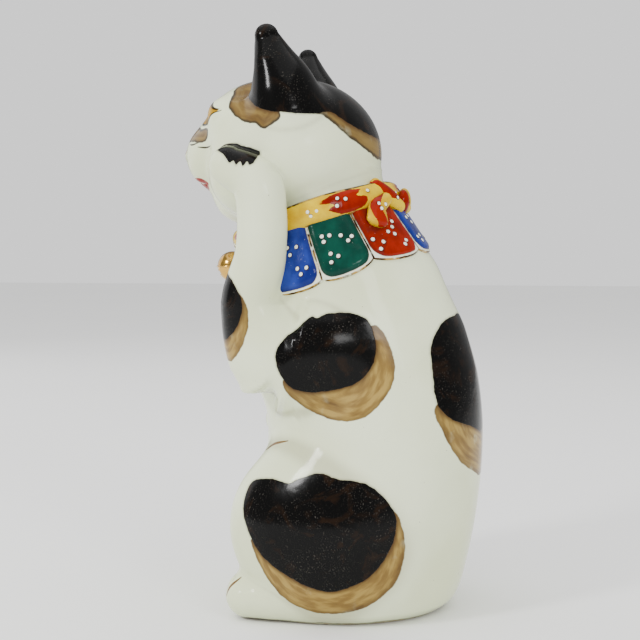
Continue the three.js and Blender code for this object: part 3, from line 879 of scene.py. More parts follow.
@dataclass(frozen=True)
class PaintedGlaze:
    """White porcelain glaze with the cat's coat and face painted over it."""

    white: tuple[float, ...] = (0.79, 0.85, 0.60, 1.0)
    cream: tuple[float, ...] = (0.68, 0.73, 0.47, 1.0)
    # Greenish grey of glaze pooled in creases, also used as painted shade in those creases.
    pooled_glaze_and_crease_shade: tuple[float, ...] = (0.46, 0.47, 0.30, 1.0)
    black: tuple[float, ...] = (0.0025, 0.0024, 0.0023, 1.0)
    rust: tuple[float, ...] = (0.014, 0.007, 0.0035, 1.0)
    dust: tuple[float, ...] = (0.05, 0.045, 0.038, 1.0)
    tan: tuple[float, ...] = (0.18, 0.10, 0.02, 1.0)
    pale_tan: tuple[float, ...] = (0.33, 0.215, 0.05, 1.0)
    dark_tan: tuple[float, ...] = (0.06, 0.024, 0.005, 1.0)
    red: tuple[float, ...] = (0.26, 0.014, 0.008, 1.0)
    yellow: tuple[float, ...] = (0.52, 0.32, 0.01, 1.0)
    amber: tuple[float, ...] = (0.22, 0.075, 0.004, 1.0)
    gold: tuple[float, ...] = (0.16, 0.08, 0.018, 1.0)
    brown: tuple[float, ...] = (0.016, 0.008, 0.004, 1.0)
    biscuit: tuple[float, ...] = (0.36, 0.30, 0.19, 1.0)

    def build(self) -> bpy.types.Material:
        """Builds the material.

        Returns:
            The material.
        """
        r = Recipe("painted_glaze")
        ragged = r.noise(260, 4)
        colour = r.blend(r.fade(r.noise(16, 3), 0.35, 0.7), self.white, self.cream)
        # Painted shade: where fillets fill in the creases between forms, the glaze is darkened up to 70% towards this
        # tone, partly real glaze pooling and partly painted crease shade.
        colour = r.blend(r.fade(r.value("crease"), 0.25, 1.0, 0, 0.7), colour, self.pooled_glaze_and_crease_shade)
        specks = r.fade(r.noise(620, 2), 0.765, 0.8, 0, 0.75)
        colour = r.blend(specks, colour, self.dark_tan)

        wash = r.math("ADD", r.value("wash"), r.math("MULTIPLY", r.math("SUBTRACT", ragged, 0.5), 1.4))
        contour = self.tree_vector(r)
        streaks = r.noise(1.0, 3, vector=contour)
        tan = r.blend(r.fade(streaks, 0.35, 0.62), self.pale_tan, self.tan)
        tan = r.blend(r.fade(streaks, 0.6, 0.78, 0, 0.6), tan, self.dark_tan)
        tan = r.blend(r.fade(wash, -2.2, -0.2, 0, 0.6), tan, self.dark_tan)
        tan = r.blend(r.fade(r.value("black"), 2.2, 0.2, 0, 0.75), tan, self.dark_tan)
        heavy = r.fade(r.height(), 0.205, 0.215, 0, 0.5)
        tan = r.blend(heavy, tan, self.dark_tan)
        tan = r.blend(r.math("MULTIPLY", heavy, r.fade(wash, -1.4, -0.5, 0, 1.7)), tan, self.brown)
        wash_share = r.math("MULTIPLY", r.fade(wash, 0.25, -0.25), r.fade(r.noise(90, 4), 0.2, 0.4, 0.7, 0.97))
        colour = r.blend(wash_share, colour, tan)

        edge = r.math("ADD", r.value("black"), r.math("MULTIPLY", r.math("SUBTRACT", ragged, 0.5), 1.1))
        swirl = r.fade(r.noise(55, 5, 2.4), 0.52, 0.68, 0, 0.8)
        dusty = r.math("MULTIPLY", r.fade(r.noise(1500, 2), 0.6, 0.72), r.fade(r.noise(70, 3), 0.4, 0.6, 0.1, 0.85))
        ink = r.blend(dusty, r.blend(swirl, self.black, self.rust), self.dust)
        black_share = r.fade(edge, 0.16, -0.16)
        colour = r.blend(r.fade(edge, 1.1, 0.0, 0, 0.35), colour, self.dark_tan)
        colour = r.blend(black_share, colour, ink)

        red_share = r.fade(r.math("ADD", r.value("red"), r.math("MULTIPLY", ragged, 0.3)), 0.35, 0.0)
        colour = r.blend(red_share, colour, self.red)
        iris = r.blend(r.fade(r.value("yellow"), -3.5, -0.2, 0, 0.5), self.yellow, self.amber)
        colour = r.blend(r.fade(r.value("yellow"), 0.12, -0.12), colour, iris)
        gold_share = r.fade(r.value("gold"), 0.12, -0.15)
        colour = r.blend(gold_share, colour, self.gold)
        colour = r.blend(r.fade(r.value("line"), 0.12, -0.12, 0, 0.96), colour, self.brown)

        rim = r.math("ADD", r.value("rim"), r.math("MULTIPLY", r.math("SUBTRACT", r.noise(150, 4), 0.5), 1.8))
        bare = r.fade(rim, 0.25, -0.1)
        # A dark brown band along the glaze's lower edge, about a millimetre above the floor.
        lower_edge_band = r.fade(r.math("ABSOLUTE", r.math("SUBTRACT", rim, 0.35)), 0.5, 0.0, 0, 0.75)
        colour = r.blend(bare, colour, r.blend(r.fade(r.noise(300, 4), 0.4, 0.6), self.biscuit, self.pooled_glaze_and_crease_shade))
        colour = r.blend(lower_edge_band, colour, self.brown)

        rough = r.fade(r.noise(24, 3), 0.3, 0.7, 0.07, 0.13)
        rough = r.mix(black_share, rough, r.mix(dusty, 0.17, 0.36))
        rough = r.mix(gold_share, rough, 0.25)
        rough = r.mix(bare, rough, 0.8)
        relief = r.math("ADD", r.math("MULTIPLY", r.noise(70, 2), 1.0), r.math("MULTIPLY", r.noise(420, 2), 0.1))
        relief = r.math("ADD", relief, r.math("MULTIPLY", black_share, 0.22))
        r.bump(relief, 0.00035, 0.8)
        return r.finish(colour, rough, r.math("MULTIPLY", gold_share, 0.5))

    @staticmethod
    def tree_vector(r: Recipe) -> bpy.types.NodeSocket:
        """Coordinates that run fast across a wash's edge and slowly along it, for brush streaks."""
        node = r.tree.nodes.new("ShaderNodeCombineXYZ")
        split = r.tree.nodes.new("ShaderNodeSeparateXYZ")
        r.tree.links.new(r.place, split.inputs[0])
        r.tree.links.new(r.math("MULTIPLY", r.value("wash"), 0.38), node.inputs[0])
        r.tree.links.new(r.math("MULTIPLY", split.outputs[1], 90.0), node.inputs[1])
        r.tree.links.new(r.math("MULTIPLY", split.outputs[2], 90.0), node.inputs[2])
        return node.outputs[0]


@dataclass(frozen=True)
class Enamel:
    """A raised overglaze enamel, with a second colour painted on it and gold lines."""

    name: str
    main: tuple[float, ...]
    deep: tuple[float, ...]
    second: tuple[float, ...] = (0.27, 0.010, 0.001, 1.0)
    deep_second: tuple[float, ...] = (0.16, 0.005, 0.001, 1.0)
    ground: tuple[float, ...] = (0.78, 0.80, 0.64, 1.0)
    speck: tuple[float, ...] = (0.6, 0.6, 0.5, 1.0)
    outline: tuple[float, ...] = (0.045, 0.018, 0.008, 1.0)
    gilt: tuple[float, ...] = (0.50, 0.30, 0.08, 1.0)
    size_brown: tuple[float, ...] = (0.05, 0.02, 0.006, 1.0)

    def build(self) -> bpy.types.Material:
        """Builds the material.

        Returns:
            The material. It reads the values field, second and trim, in millimetres, negative inside.
        """
        r = Recipe(f"{self.name}_enamel")
        ragged = r.math("MULTIPLY", r.math("SUBTRACT", r.noise(420, 3), 0.5), 0.9)
        body = r.blend(r.fade(r.noise(110, 4), 0.3, 0.7), self.main, self.deep)
        body = r.blend(r.fade(r.value("field"), -2.4, 0.0, 0, 0.55), body, self.deep)
        body = r.blend(r.fade(r.noise(1100, 2), 0.735, 0.78, 0, 0.4), body, self.speck)
        other = r.blend(r.fade(r.noise(90, 3), 0.35, 0.7), self.second, self.deep_second)
        body = r.blend(r.fade(r.math("ADD", r.value("second"), ragged), 0.12, -0.12), body, other)
        enamel_share = r.fade(r.math("ADD", r.value("field"), r.math("MULTIPLY", ragged, 0.5)), 0.14, -0.14)
        colour = r.blend(enamel_share, self.ground, body)
        outline = r.fade(r.math("ABSOLUTE", r.math("ADD", r.value("field"), r.math("MULTIPLY", ragged, 0.3))), 0.32, 0.05, 0, 0.6)
        colour = r.blend(outline, colour, self.outline)
        trim = r.fade(r.math("ADD", r.value("trim"), r.math("MULTIPLY", ragged, 0.45)), 0.14, -0.1)
        worn = r.math("MULTIPLY", trim, r.fade(r.noise(160, 4), 0.32, 0.45))
        colour = r.blend(worn, colour, r.blend(r.fade(r.noise(220, 3), 0.38, 0.56), self.gilt, self.size_brown))
        rough = r.mix(worn, r.fade(r.noise(60, 3), 0.3, 0.7, 0.08, 0.18), 0.3)
        r.bump(r.math("ADD", r.noise(170, 3), r.math("MULTIPLY", r.noise(800, 2), 0.25)), 0.0004, 0.7)
        return r.finish(colour, rough, r.math("MULTIPLY", worn, 0.75))


@dataclass(frozen=True)
class Dot:
    """The white enamel dots and their dark rims."""

    name: str
    colour: tuple[float, ...]
    second: tuple[float, ...]

    def build(self) -> bpy.types.Material:
        """Builds the material.

        Returns:
            The material.
        """
        r = Recipe(self.name)
        colour = r.blend(r.fade(r.noise(500, 3), 0.4, 0.7), self.colour, self.second)
        r.bump(r.noise(900, 2), 0.0002, 0.5)
        return r.finish(colour, r.fade(r.noise(300, 2), 0.3, 0.7, 0.12, 0.25))


@dataclass(frozen=True)
class Biscuit:
    """Unglazed fired clay."""

    light: tuple[float, ...] = (0.52, 0.43, 0.28, 1.0)
    dark: tuple[float, ...] = (0.27, 0.20, 0.11, 1.0)
    speck: tuple[float, ...] = (0.06, 0.035, 0.02, 1.0)

    def build(self) -> bpy.types.Material:
        """Builds the material.

        Returns:
            The material.
        """
        r = Recipe("biscuit_clay")
        colour = r.blend(r.fade(r.noise(60, 5), 0.35, 0.7), self.light, self.dark)
        colour = r.blend(r.fade(r.noise(700, 3), 0.66, 0.74, 0, 0.8), colour, self.speck)
        r.bump(r.math("ADD", r.noise(240, 5), r.noise(1200, 3)), 0.0005, 0.8)
        return r.finish(colour, r.fade(r.noise(90, 3), 0.3, 0.7, 0.72, 0.95))


@dataclass(frozen=True)
class Gilding:
    """Bright gold lustre over the glaze, worn to its brown size."""

    bright: tuple[float, ...] = (0.62, 0.36, 0.07, 1.0)
    worn: tuple[float, ...] = (0.17, 0.065, 0.015, 1.0)

    def build(self) -> bpy.types.Material:
        """Builds the material.

        Returns:
            The material.
        """
        r = Recipe("gold_lustre")
        wear = r.fade(r.noise(150, 5), 0.5, 0.68, 0, 0.85)
        colour = r.blend(wear, self.bright, self.worn)
        r.bump(r.noise(260, 4), 0.0003, 0.7)
        return r.finish(colour, r.mix(wear, 0.18, 0.45), r.mix(wear, 1.0, 0.4), 0.2)


# ---- The glazed castings ----------------------------------------------------------------------


@dataclass
class Castings:
    """The body, head, legs, arms, ears and tail, luted and glazed over as one skin, one piece each."""

    grain: float = 1.25
    neck_fillet: float = 5.0
    lobe_fillet: float = 7.0
    haunch_fillet: float = 11.0
    foot_fillet: float = 4.0
    ear_fillet: float = 6.0
    tail_fillet: float = 2.5
    floor_round: float = 1.2
    grooves: tuple[tuple[Stroke, float, float], ...] = (
        (Stroke(Plane.FRONT, ((-13, 203), (-9.5, 200.8), (-4, 201.2), (0, 204), (4, 201.2), (9.5, 200.8), (13, 203)),
                start=48), 1.0, 1.2),
        (Stroke(Plane.FRONT, ((0, 212), (0, 207.5), (0, 204)), start=62), 0.9, 0.7),
        *((Stroke(Plane.FRONT, ((side * x, 18), (side * x, 11), (side * x, 4)), start=38), 1.3, 1.3)
          for side in (LEFT, RIGHT) for x in (32.5, 41)),
        *((Stroke(Plane.FRONT, ((x, 214), (x, 206), (x, 199)), start=44), 1.1, 1.0) for x in (46.5, 51.2)),
        *((Stroke(Plane.FRONT, ((x, 91), (x - 0.5, 84), (x, 76)), start=40), 1.1, 1.0) for x in (-28.4, -23.8)),
    )
    folds: np.ndarray = field(default_factory=lambda: np.zeros((0, 3)))

    def __post_init__(self) -> None:
        """Sets out every form once."""
        self.lobes = HEAD.balls()
        self.ears = {side: (HEAD.ear(side), HEAD.ear_hollow(side)) for side in (LEFT, RIGHT)}
        self.haunches = {side: LIMBS.haunch(side) for side in (LEFT, RIGHT)}
        self.feet = {side: LIMBS.hind_foot(side) for side in (LEFT, RIGHT)}
        self.raised, self.lowered, self.tail = LIMBS.raised_arm(), LIMBS.lowered_arm(), LIMBS.tail()
        self.nose = Ball((0, -74.6, 215), (5.2, 4.2, 4.0))
        self.lids = [Ball((side * 21.5, -53, 232.5), (10.5, 6, 6.5)) for side in (LEFT, RIGHT)]

    def skin(self, p: np.ndarray) -> np.ndarray:
        """The glaze's distance field.

        Args:
            p: Points, one row each.

        Returns:
            The signed distance of each point.
        """
        return self.fields(p)[0]

    def fields(self, p: np.ndarray) -> tuple[np.ndarray, np.ndarray]:
        """The glaze's distance field, and that of the bare forms without their fillets."""
        head = self.lobes[0].near(p)
        for lobe in self.lobes[1:]:
            head = melt(head, lobe.near(p), self.lobe_fillet)
        for lid in self.lids:
            head = melt(head, lid.near(p), 3.5)
        head = melt(head, self.nose.near(p), 2.5)
        torso = TORSO.near(p)
        bare = np.minimum(head, torso)
        skin = melt(torso, head, self.neck_fillet)
        reach = np.interp(p[:, 2], [130, 165], [10.0, 2.4])
        joins = [(self.haunches[s], self.haunch_fillet) for s in (LEFT, RIGHT)]
        joins += [(self.feet[s], self.foot_fillet) for s in (LEFT, RIGHT)]
        joins += [(self.ears[s][0], self.ear_fillet) for s in (LEFT, RIGHT)]
        joins += [(self.lowered, np.interp(p[:, 2], [95, 125], [2.5, 9.0])), (self.raised, reach),
                  (self.tail, self.tail_fillet)]
        for form, width in joins:
            d = form.near(p)
            bare = np.minimum(bare, d)
            skin = melt(skin, d, width)
        for side in (LEFT, RIGHT):
            skin = -melt(-skin, self.ears[side][1].near(p), 2.0)
        for groove, width, depth in self.grooves:
            line = smooth_line(groove.line, 24)
            flat = groove.plane.flat(p)
            close = np.all((flat > line.min(0) - 6) & (flat < line.max(0) + 6), axis=1)
            close &= groove.plane.behind(p, groove.start) < 0
            if close.any():
                skin[close] += depth * np.exp(-((stroke_distance(flat[close], line) / width) ** 2))
        return -melt(-skin, p[:, 2], self.floor_round), bare

    def slope(self, p: np.ndarray, step: float, here: np.ndarray) -> np.ndarray:
        """The field's slope at each point, from its value there and a step away along each axis."""
        return np.column_stack([(self.skin(p + s) - here) / step for s in np.eye(3) * step])

    def fit(self, p: np.ndarray, rounds: int) -> np.ndarray:
        """Moves points onto the glaze's skin.

        Args:
            p: The points.
            rounds: How many steps to take.

        Returns:
            The moved points.
        """
        for _ in range(rounds):
            here = self.skin(p)
            slope = self.slope(p, 0.05, here)
            step = slope * (here / np.maximum((slope**2).sum(1), 0.2))[:, None]
            length = np.linalg.norm(step, axis=1)[:, None]
            p = p - step * np.minimum(1, 2.5 / np.maximum(length, 1e-9))
        return p

    def blank(self) -> bpy.types.Mesh:
        """One closed skin round every form."""
        bm = bmesh.new()
        TORSO.add_to(bm, 0, 0, TORSO.height - 2, 60)
        for ball in (*self.lobes, *self.haunches.values()):
            ball.add_to(bm)
        for limb in (*self.feet.values(), self.raised, self.lowered, self.tail, *(e[0] for e in self.ears.values())):
            limb.add_to(bm)
        made = object_from(bm, "blank")
        step = made.modifiers.new("skin", "REMESH")
        step.mode, step.voxel_size = "VOXEL", self.grain
        return settle(made)

    def paint(self, p: np.ndarray) -> dict[str, np.ndarray]:
        """The distances of points from the edges of every painted colour."""
        return {name: np.clip(np.min([s.distance(p) for s in shapes], axis=0), -FAR, FAR)
                for name, shapes in PAINT.items()}

    def refine(self, mesh: bpy.types.Mesh, names: Sequence[str], reach: float, longest: float) -> None:
        """Halves the edges near painted outlines, so that the outlines stay crisp.

        Args:
            mesh: The mesh to refine.
            names: The colours whose outlines count.
            reach: How near an outline an edge has to be.
            longest: Edges shorter than this are left.
        """
        p = coords(mesh)
        painted = self.paint(p)
        near = np.min([np.abs(painted[name]) for name in names], axis=0) < reach
        bm = bmesh.new()
        bm.from_mesh(mesh)
        edges = [e for e in bm.edges
                 if near[e.verts[0].index] and near[e.verts[1].index] and e.calc_length() > longest]
        bmesh.ops.subdivide_edges(bm, edges=edges, cuts=1, use_grid_fill=True)
        bmesh.ops.triangulate(bm, faces=[f for f in bm.faces if len(f.verts) > 4])
        bm.to_mesh(mesh)
        bm.free()
        put_coords(mesh, self.fit(coords(mesh), 2))

    def mend(self, mesh: bpy.types.Mesh) -> None:
        """Smooths the skin where the forms meet too sharply for the fit, and keeps those places."""
        p = coords(mesh)
        slope = self.slope(p, 0.2, self.skin(p))
        slope /= np.maximum(np.linalg.norm(slope, axis=1), 1e-6)[:, None]
        own = np.empty(len(p) * 3, np.float32)
        mesh.vertex_normals.foreach_get("vector", own)
        rough = ((slope * own.reshape(-1, 3)).sum(1) < 0.9) & (p[:, 2] > 4) & (p[:, 2] < 160)
        self.folds = p[rough]
        LOG.info("skin: %d folded points", len(self.folds))
        bm = bmesh.new()
        bm.from_mesh(mesh)
        bm.verts.ensure_lookup_table()
        verts = {bm.verts[i] for i in np.flatnonzero(rough)}
        for _ in range(3):
            verts |= {e.other_vert(v) for v in verts for e in v.link_edges}
        for _ in range(12):
            bmesh.ops.smooth_vert(bm, verts=list(verts), factor=0.5, use_axis_x=True, use_axis_y=True, use_axis_z=True)
        bm.to_mesh(mesh)
        bm.free()

    def cutters(self) -> dict[str, bpy.types.Mesh]:
        """The forms that part the skin into pieces, in cutting order."""
        cut = {
            "raised_left_arm": mesh_of(lambda bm: self.raised.add_to(bm, 3.5)),
            "lowered_right_arm": mesh_of(lambda bm: self.lowered.add_to(bm, 3.3)),
            "tail": mesh_of(lambda bm: self.tail.add_to(bm, 1.4)),
        }
        for name, side in (("left", LEFT), ("right", RIGHT)):
            cut[f"{name}_hind_foot"] = mesh_of(lambda bm, s=side: self.feet[s].add_to(bm, 1.6))
            cut[f"{name}_haunch"] = mesh_of(lambda bm, s=side: self.haunches[s].add_to(bm, 3.2))
            cut[f"{name}_ear"] = mesh_of(lambda bm, s=side: self.ears[s][0].add_to(bm, 2.0))
        plane = (Matrix.Translation((0, 0, TORSO.level)) @ Matrix.Rotation(math.radians(TORSO.collar_tilt), 4, "X")
                 @ Matrix.Translation((0, 0, 250)))
        cut["head_shell"] = mesh_of(lambda bm: bmesh.ops.create_cube(bm, size=500, matrix=plane))
        return cut

    def dress(self, name: str, mesh: bpy.types.Mesh) -> None:
        """Keeps the painted colours, creases and rim on a piece, and gives it the skin's own normals."""
        p = coords(mesh)
        for colour, values in self.paint(p).items():
            put_values(mesh, colour, values)
        skin, bare = self.fields(p)
        recess = (skin < -2.5) & (p[:, 2] < 37) & (np.abs(p[:, 0]) < 50) & (name == "torso_shell")
        # crease: how far a fillet fills in where forms meet; the glaze reads it as pooled glaze and painted crease
        # shade.
        put_values(mesh, "crease", np.clip((bare - skin) / 2.2, 0, 1))
        put_values(mesh, "rim", np.where(recess, -4.0, p[:, 2] - 1.0))
        mesh.shade_smooth()
        slope = self.slope(p, 1.4 if name.endswith("ear") else 0.2, skin)
        slope /= np.maximum(np.linalg.norm(slope, axis=1), 1e-6)[:, None]
        tree = KDTree(len(self.folds))
        for index, spot in enumerate(self.folds):
            tree.insert(spot, index)
        tree.balance()
        if len(self.folds):
            near = np.array([tree.find(v)[2] < 3 for v in p])
            if near.any():
                coarse = self.slope(p[near], 3.0, skin[near]) - self.slope(p[near], -3.0, skin[near]) * -1
                slope[near] = coarse / np.maximum(np.linalg.norm(coarse, axis=1), 1e-6)[:, None]
        own = np.empty(len(mesh.vertices) * 3, np.float32)
        mesh.vertex_normals.foreach_get("vector", own)
        normals = np.where(recess[:, None], own.reshape(-1, 3), slope)
        mesh.normals_split_custom_set_from_vertices([tuple(n) for n in normals])

    def build(self) -> list[bpy.types.Object]:
        """Builds the castings.

        Returns:
            The pieces.
        """
        glaze = PaintedGlaze().build()
        rest = self.blank()
        put_coords(rest, self.fit(coords(rest), 4))
        LOG.info("skin: %d faces", len(rest.polygons))
        self.refine(rest, tuple(PAINT), 1.3, 0.8)
        self.refine(rest, FINE, 1.0, 0.45)
        LOG.info("skin refined: %d faces", len(rest.polygons))
        self.mend(rest)
        made: dict[str, bpy.types.Mesh] = {}
        for name, cutter in self.cutters().items():
            made[name] = carve(rest, cutter, "INTERSECT")
            rest = carve(rest, cutter, "DIFFERENCE")
        for form in (lambda bm: TORSO.add_to(bm, -5.0, -1.0, 5.3, 2),
                     lambda bm: Ball((0, 14, 16), (34, 34, 20)).add_to(bm)):
            rest = carve(rest, mesh_of(form), "DIFFERENCE")
        made["torso_shell"] = rest
        pieces = []
        for name, mesh in made.items():
            self.dress(name, mesh)
            slot = "black_enamel" if name.endswith("ear") else "white_glaze"
            pieces.append(piece_from(mesh, f"glazed_{name}", [name], slot, [glaze], smooth=False))
        return pieces


@dataclass
class Base:
    """The unglazed slab under the body, with its vent."""

    inset: float = 5.3
    rise: float = 5.0
    lift: float = 0.3
    vent_radius: float = 8.0
    vent_setback: float = 24.0

    def build(self) -> bpy.types.Object:
        """Builds the slab.

        Returns:
            The piece.
        """
        slab = mesh_of(lambda bm: TORSO.add_to(bm, -self.inset, self.lift, self.rise, 1))
        place = Matrix.Translation((0, self.vent_setback, 0))
        vent = mesh_of(lambda bm: bmesh.ops.create_cone(
            bm, cap_ends=True, segments=48, radius1=self.vent_radius + 0.6, radius2=self.vent_radius - 0.3,
            depth=30, matrix=place))
        mesh = carve(slab, vent, "DIFFERENCE")
        bm = bmesh.new()
        bm.from_mesh(mesh)
        rim = [e for e in bm.edges if e.is_manifold and e.calc_face_angle() > 1.0]
        bmesh.ops.bevel(bm, geom=rim, offset=0.35, segments=2, profile=0.5, affect="EDGES", material=-1)
        bm.to_mesh(mesh)
        bm.free()
        return piece_from(mesh, "unglazed_base_slab", ["base_slab"], "biscuit", [Biscuit().build()], smooth=False)


# ---- The enamelled dress ----------------------------------------------------------------------


class Colour(Enum):
    """The enamel colours, each its main and its deeper tone."""

    YELLOW = ((0.72, 0.50, 0.0, 1.0), (0.52, 0.29, 0.0, 1.0))
    RED = ((0.25, 0.009, 0.001, 1.0), (0.11, 0.009, 0.005, 1.0))
    BLUE = ((0.022, 0.045, 0.27, 1.0), (0.008, 0.015, 0.13, 1.0))
    GREEN = ((0.003, 0.055, 0.036, 1.0), (0.002, 0.030, 0.021, 1.0))

    def slot(self) -> str:
        """The record's material slot of this enamel."""
        return f"{self.name.lower()}_enamel"


@dataclass
class Dots:
    """The white enamel dots, each a low bead on a dark rim."""

    radius: float = 1.0
    rim: float = 1.28
    height: float = 0.42

    def add(self, bm: bmesh.types.BMesh, at: Sequence[float], out: Sequence[float], size: float = 1.0,
            first: int = 1) -> None:
        """Adds one dot.

        Args:
            bm: The mesh to add to.
            at: The dot's place on the surface.
            out: The surface's outward direction.
            size: The dot's size, as a share of the usual.
            first: The material of the rim; the bead's is the next.
        """
        turn = Vector(out).to_track_quat("Z", "Y").to_matrix().to_4x4()
        for i, (radius, height) in enumerate(((self.rim, self.height * 0.55), (self.radius, self.height))):
            place = Matrix.Translation(at) @ turn @ Matrix.Diagonal((radius * size, radius * size, height, 1))
            made = bmesh.ops.create_uvsphere(bm, u_segments=14, v_segments=8, radius=1, matrix=place)
            for face in {f for v in made["verts"] for f in v.link_faces}:
                face.material_index = first + i
                face.smooth = True


DOTS = Dots()


@dataclass
class Dress:
    """The collar, bib, bow and bell."""

    collar_height: float = 11.0
    collar_thickness: float = 7.0
    collar_bite: float = 2.0
    bib_drop: float = 24.5
    bib_sag: float = 2.6
    bib_relief: float = 1.2
    bib_pillow: float = 1.3
    seams: tuple[int, ...] = (-4, 25, 66, 112, 155, 184, 216, 252, 288, 323, 356)
    dips: tuple[float, ...] = (2.6, 0, 0.9, 0, 1, 0, 0.6, 0, 0.5, 0.4, 2.6)
    leans: tuple[float, ...] = (-3.5, -0.5, 3, -3, 0.5, 3.5, 1, 0.5, -0.5, -1, -3.5)
    colours: tuple[Colour, ...] = (
        Colour.GREEN, Colour.RED, Colour.BLUE, Colour.RED, Colour.GREEN,
        Colour.BLUE, Colour.GREEN, Colour.RED, Colour.GREEN, Colour.BLUE,
    )
    flame: tuple[tuple[float, float], ...] = (
        (7, 2.4), (12, 3.4), (18, 4.7), (27, 4.9), (34, 4.6), (38, 3.8), (34, 2.2), (33, 1.4), (38, 0.8),
        (42, -0.6), (38, -3.2), (29, -5.0), (21, -4.8), (16, -3.4), (12.5, -1.4), (17, -0.2), (16, 0.8), (12, 1.4),
    )
    collar_dots: tuple[tuple[float, float], ...] = (
        (1, 0.4), (6, -0.4), (2, -1.9), (20, 2.4), (25, 1.2), (18.5, -0.8), (43, 2.6),
    )
    step: float = 72.0
    bib_dots: tuple[tuple[Colour, tuple[tuple[float, float], ...]], ...] = (
        (Colour.GREEN, ((-0.5, 0.33), (-0.22, 0.35), (-0.5, 0.42), (0.18, 0.4), (0.56, 0.46), (0.36, 0.51),
                        (-0.42, 0.63), (-0.2, 0.7), (-0.5, 0.76))),
        (Colour.RED, ((0.32, 0.39), (0.17, 0.48), (-0.12, 0.54), (0.09, 0.6), (-0.78, 0.6), (-0.5, 0.68),
                      (-0.7, 0.78), (0.42, 0.74), (0.26, 0.8))),
        (Colour.BLUE, ((0.2, 0.33), (0.52, 0.36), (0.24, 0.45), (0.36, 0.69), (0.66, 0.72), (0.42, 0.79),
                       (-0.5, 0.72))),
    )

    def __post_init__(self) -> None:
        """Makes the enamels and the dots' finishes."""
        self.enamels = {c: Enamel(c.name.lower(), *c.value).build() for c in Colour}
        self.beads = [
            Dot("dot_rim", (0.045, 0.018, 0.01, 1.0), (0.015, 0.008, 0.006, 1.0)).build(),
            Dot("dot_bead", (0.88, 0.9, 0.8, 1.0), (0.74, 0.74, 0.62, 1.0)).build(),
        ]

    def outwards(self, turn: float, lift: float = 0.0) -> np.ndarray:
        """The direction out of the neck at a turn, leaning up by lift, in radians."""
        flat = math.cos(turn) * np.array([1.0, 0, 0]) + math.sin(turn) * TORSO.back
        return flat * math.cos(lift) + TORSO.rise * math.sin(lift)

    def dress(self, piece_mesh: bpy.types.Mesh, field_values: np.ndarray, second: np.ndarray, trim: np.ndarray) -> None:
        """Keeps the enamel's outlines on a mesh."""
        for name, values in (("field", field_values), ("second", second), ("trim", trim)):
            put_values(piece_mesh, name, np.broadcast_to(values, len(piece_mesh.vertices)))

    def collar(self) -> bpy.types.Object:
        """Builds the rolled collar with its flames, gold edges and dots."""
        bm = bmesh.new()
        ring = bmesh.ops.create_circle(bm, segments=28, radius=1, matrix=Matrix.Translation((4, 0, 0)) @ Matrix.Rotation(math.pi / 2, 4, "X"))
        edges = list({e for v in ring["verts"] for e in v.link_edges})
        bmesh.ops.spin(bm, geom=[*ring["verts"], *edges], cent=(0, 0, 0), axis=(0, 0, 1), dvec=(0, 0, 0),
                       angle=2 * math.pi, steps=220, use_merge=True)
        p = np.array([v.co for v in bm.verts])
        turn = np.arctan2(p[:, 1], p[:, 0])
        out, up = (np.copysign(np.abs(v) ** 0.8, v) for v in (np.hypot(p[:, 0], p[:, 1]) - 4, p[:, 2]))
        puff = 1 + 0.05 * np.sin(5 * turn + 1.0) + 0.03 * np.sin(11 * turn)
        half = self.collar_thickness / 2
        height = up * self.collar_height / 2 * (1.1 + 0.03 * np.sin(7 * turn))
        at = TORSO.neck(turn, np.zeros(len(turn)), half - self.collar_bite + out * half * puff)
        at = at + height[:, None] * TORSO.rise
        for vert, row in zip(bm.verts, at):
            vert.co = row
        bmesh.ops.recalc_face_normals(bm, faces=bm.faces[:])
        count = len(bm.verts)
        degrees = np.degrees(turn)
        second = np.full(count, FAR)
        for start in (0, self.step, 3 * self.step, 4 * self.step):
            round_by = (degrees - start + 150) % 360 - 150
            flat = np.column_stack([np.full(count, 10.0), round_by * 0.72, height])
            second = np.minimum(second, Patch(Plane.LEFT, tuple((x * 0.72, z) for x, z in self.flame), 0).distance(flat))
            for a, h in self.collar_dots:
                angle, lift = math.radians(a + start), math.asin(h / 6)
                reach = half - self.collar_bite + half * math.cos(lift) ** 0.8
                spot = TORSO.neck(angle, 0.0, reach)[0] + h * TORSO.rise
                DOTS.add(bm, spot, self.outwards(angle, lift * 0.9), 0.92)
        made = object_from(bm, "collar")
        mesh = made.data.copy()
        bpy.data.objects.remove(made)
        pad = len(mesh.vertices) - count
        trim = np.concatenate([5.1 - np.abs(height) + 0.25 * np.sin(9 * turn), np.full(pad, FAR)])
        self.dress(mesh, np.full(len(mesh.vertices), -3.0), np.concatenate([second, np.full(pad, FAR)]), trim)
        return piece_from(mesh, "enamelled_collar", ["collar_band"], "yellow_enamel",
                          [self.enamels[Colour.YELLOW], *self.beads])

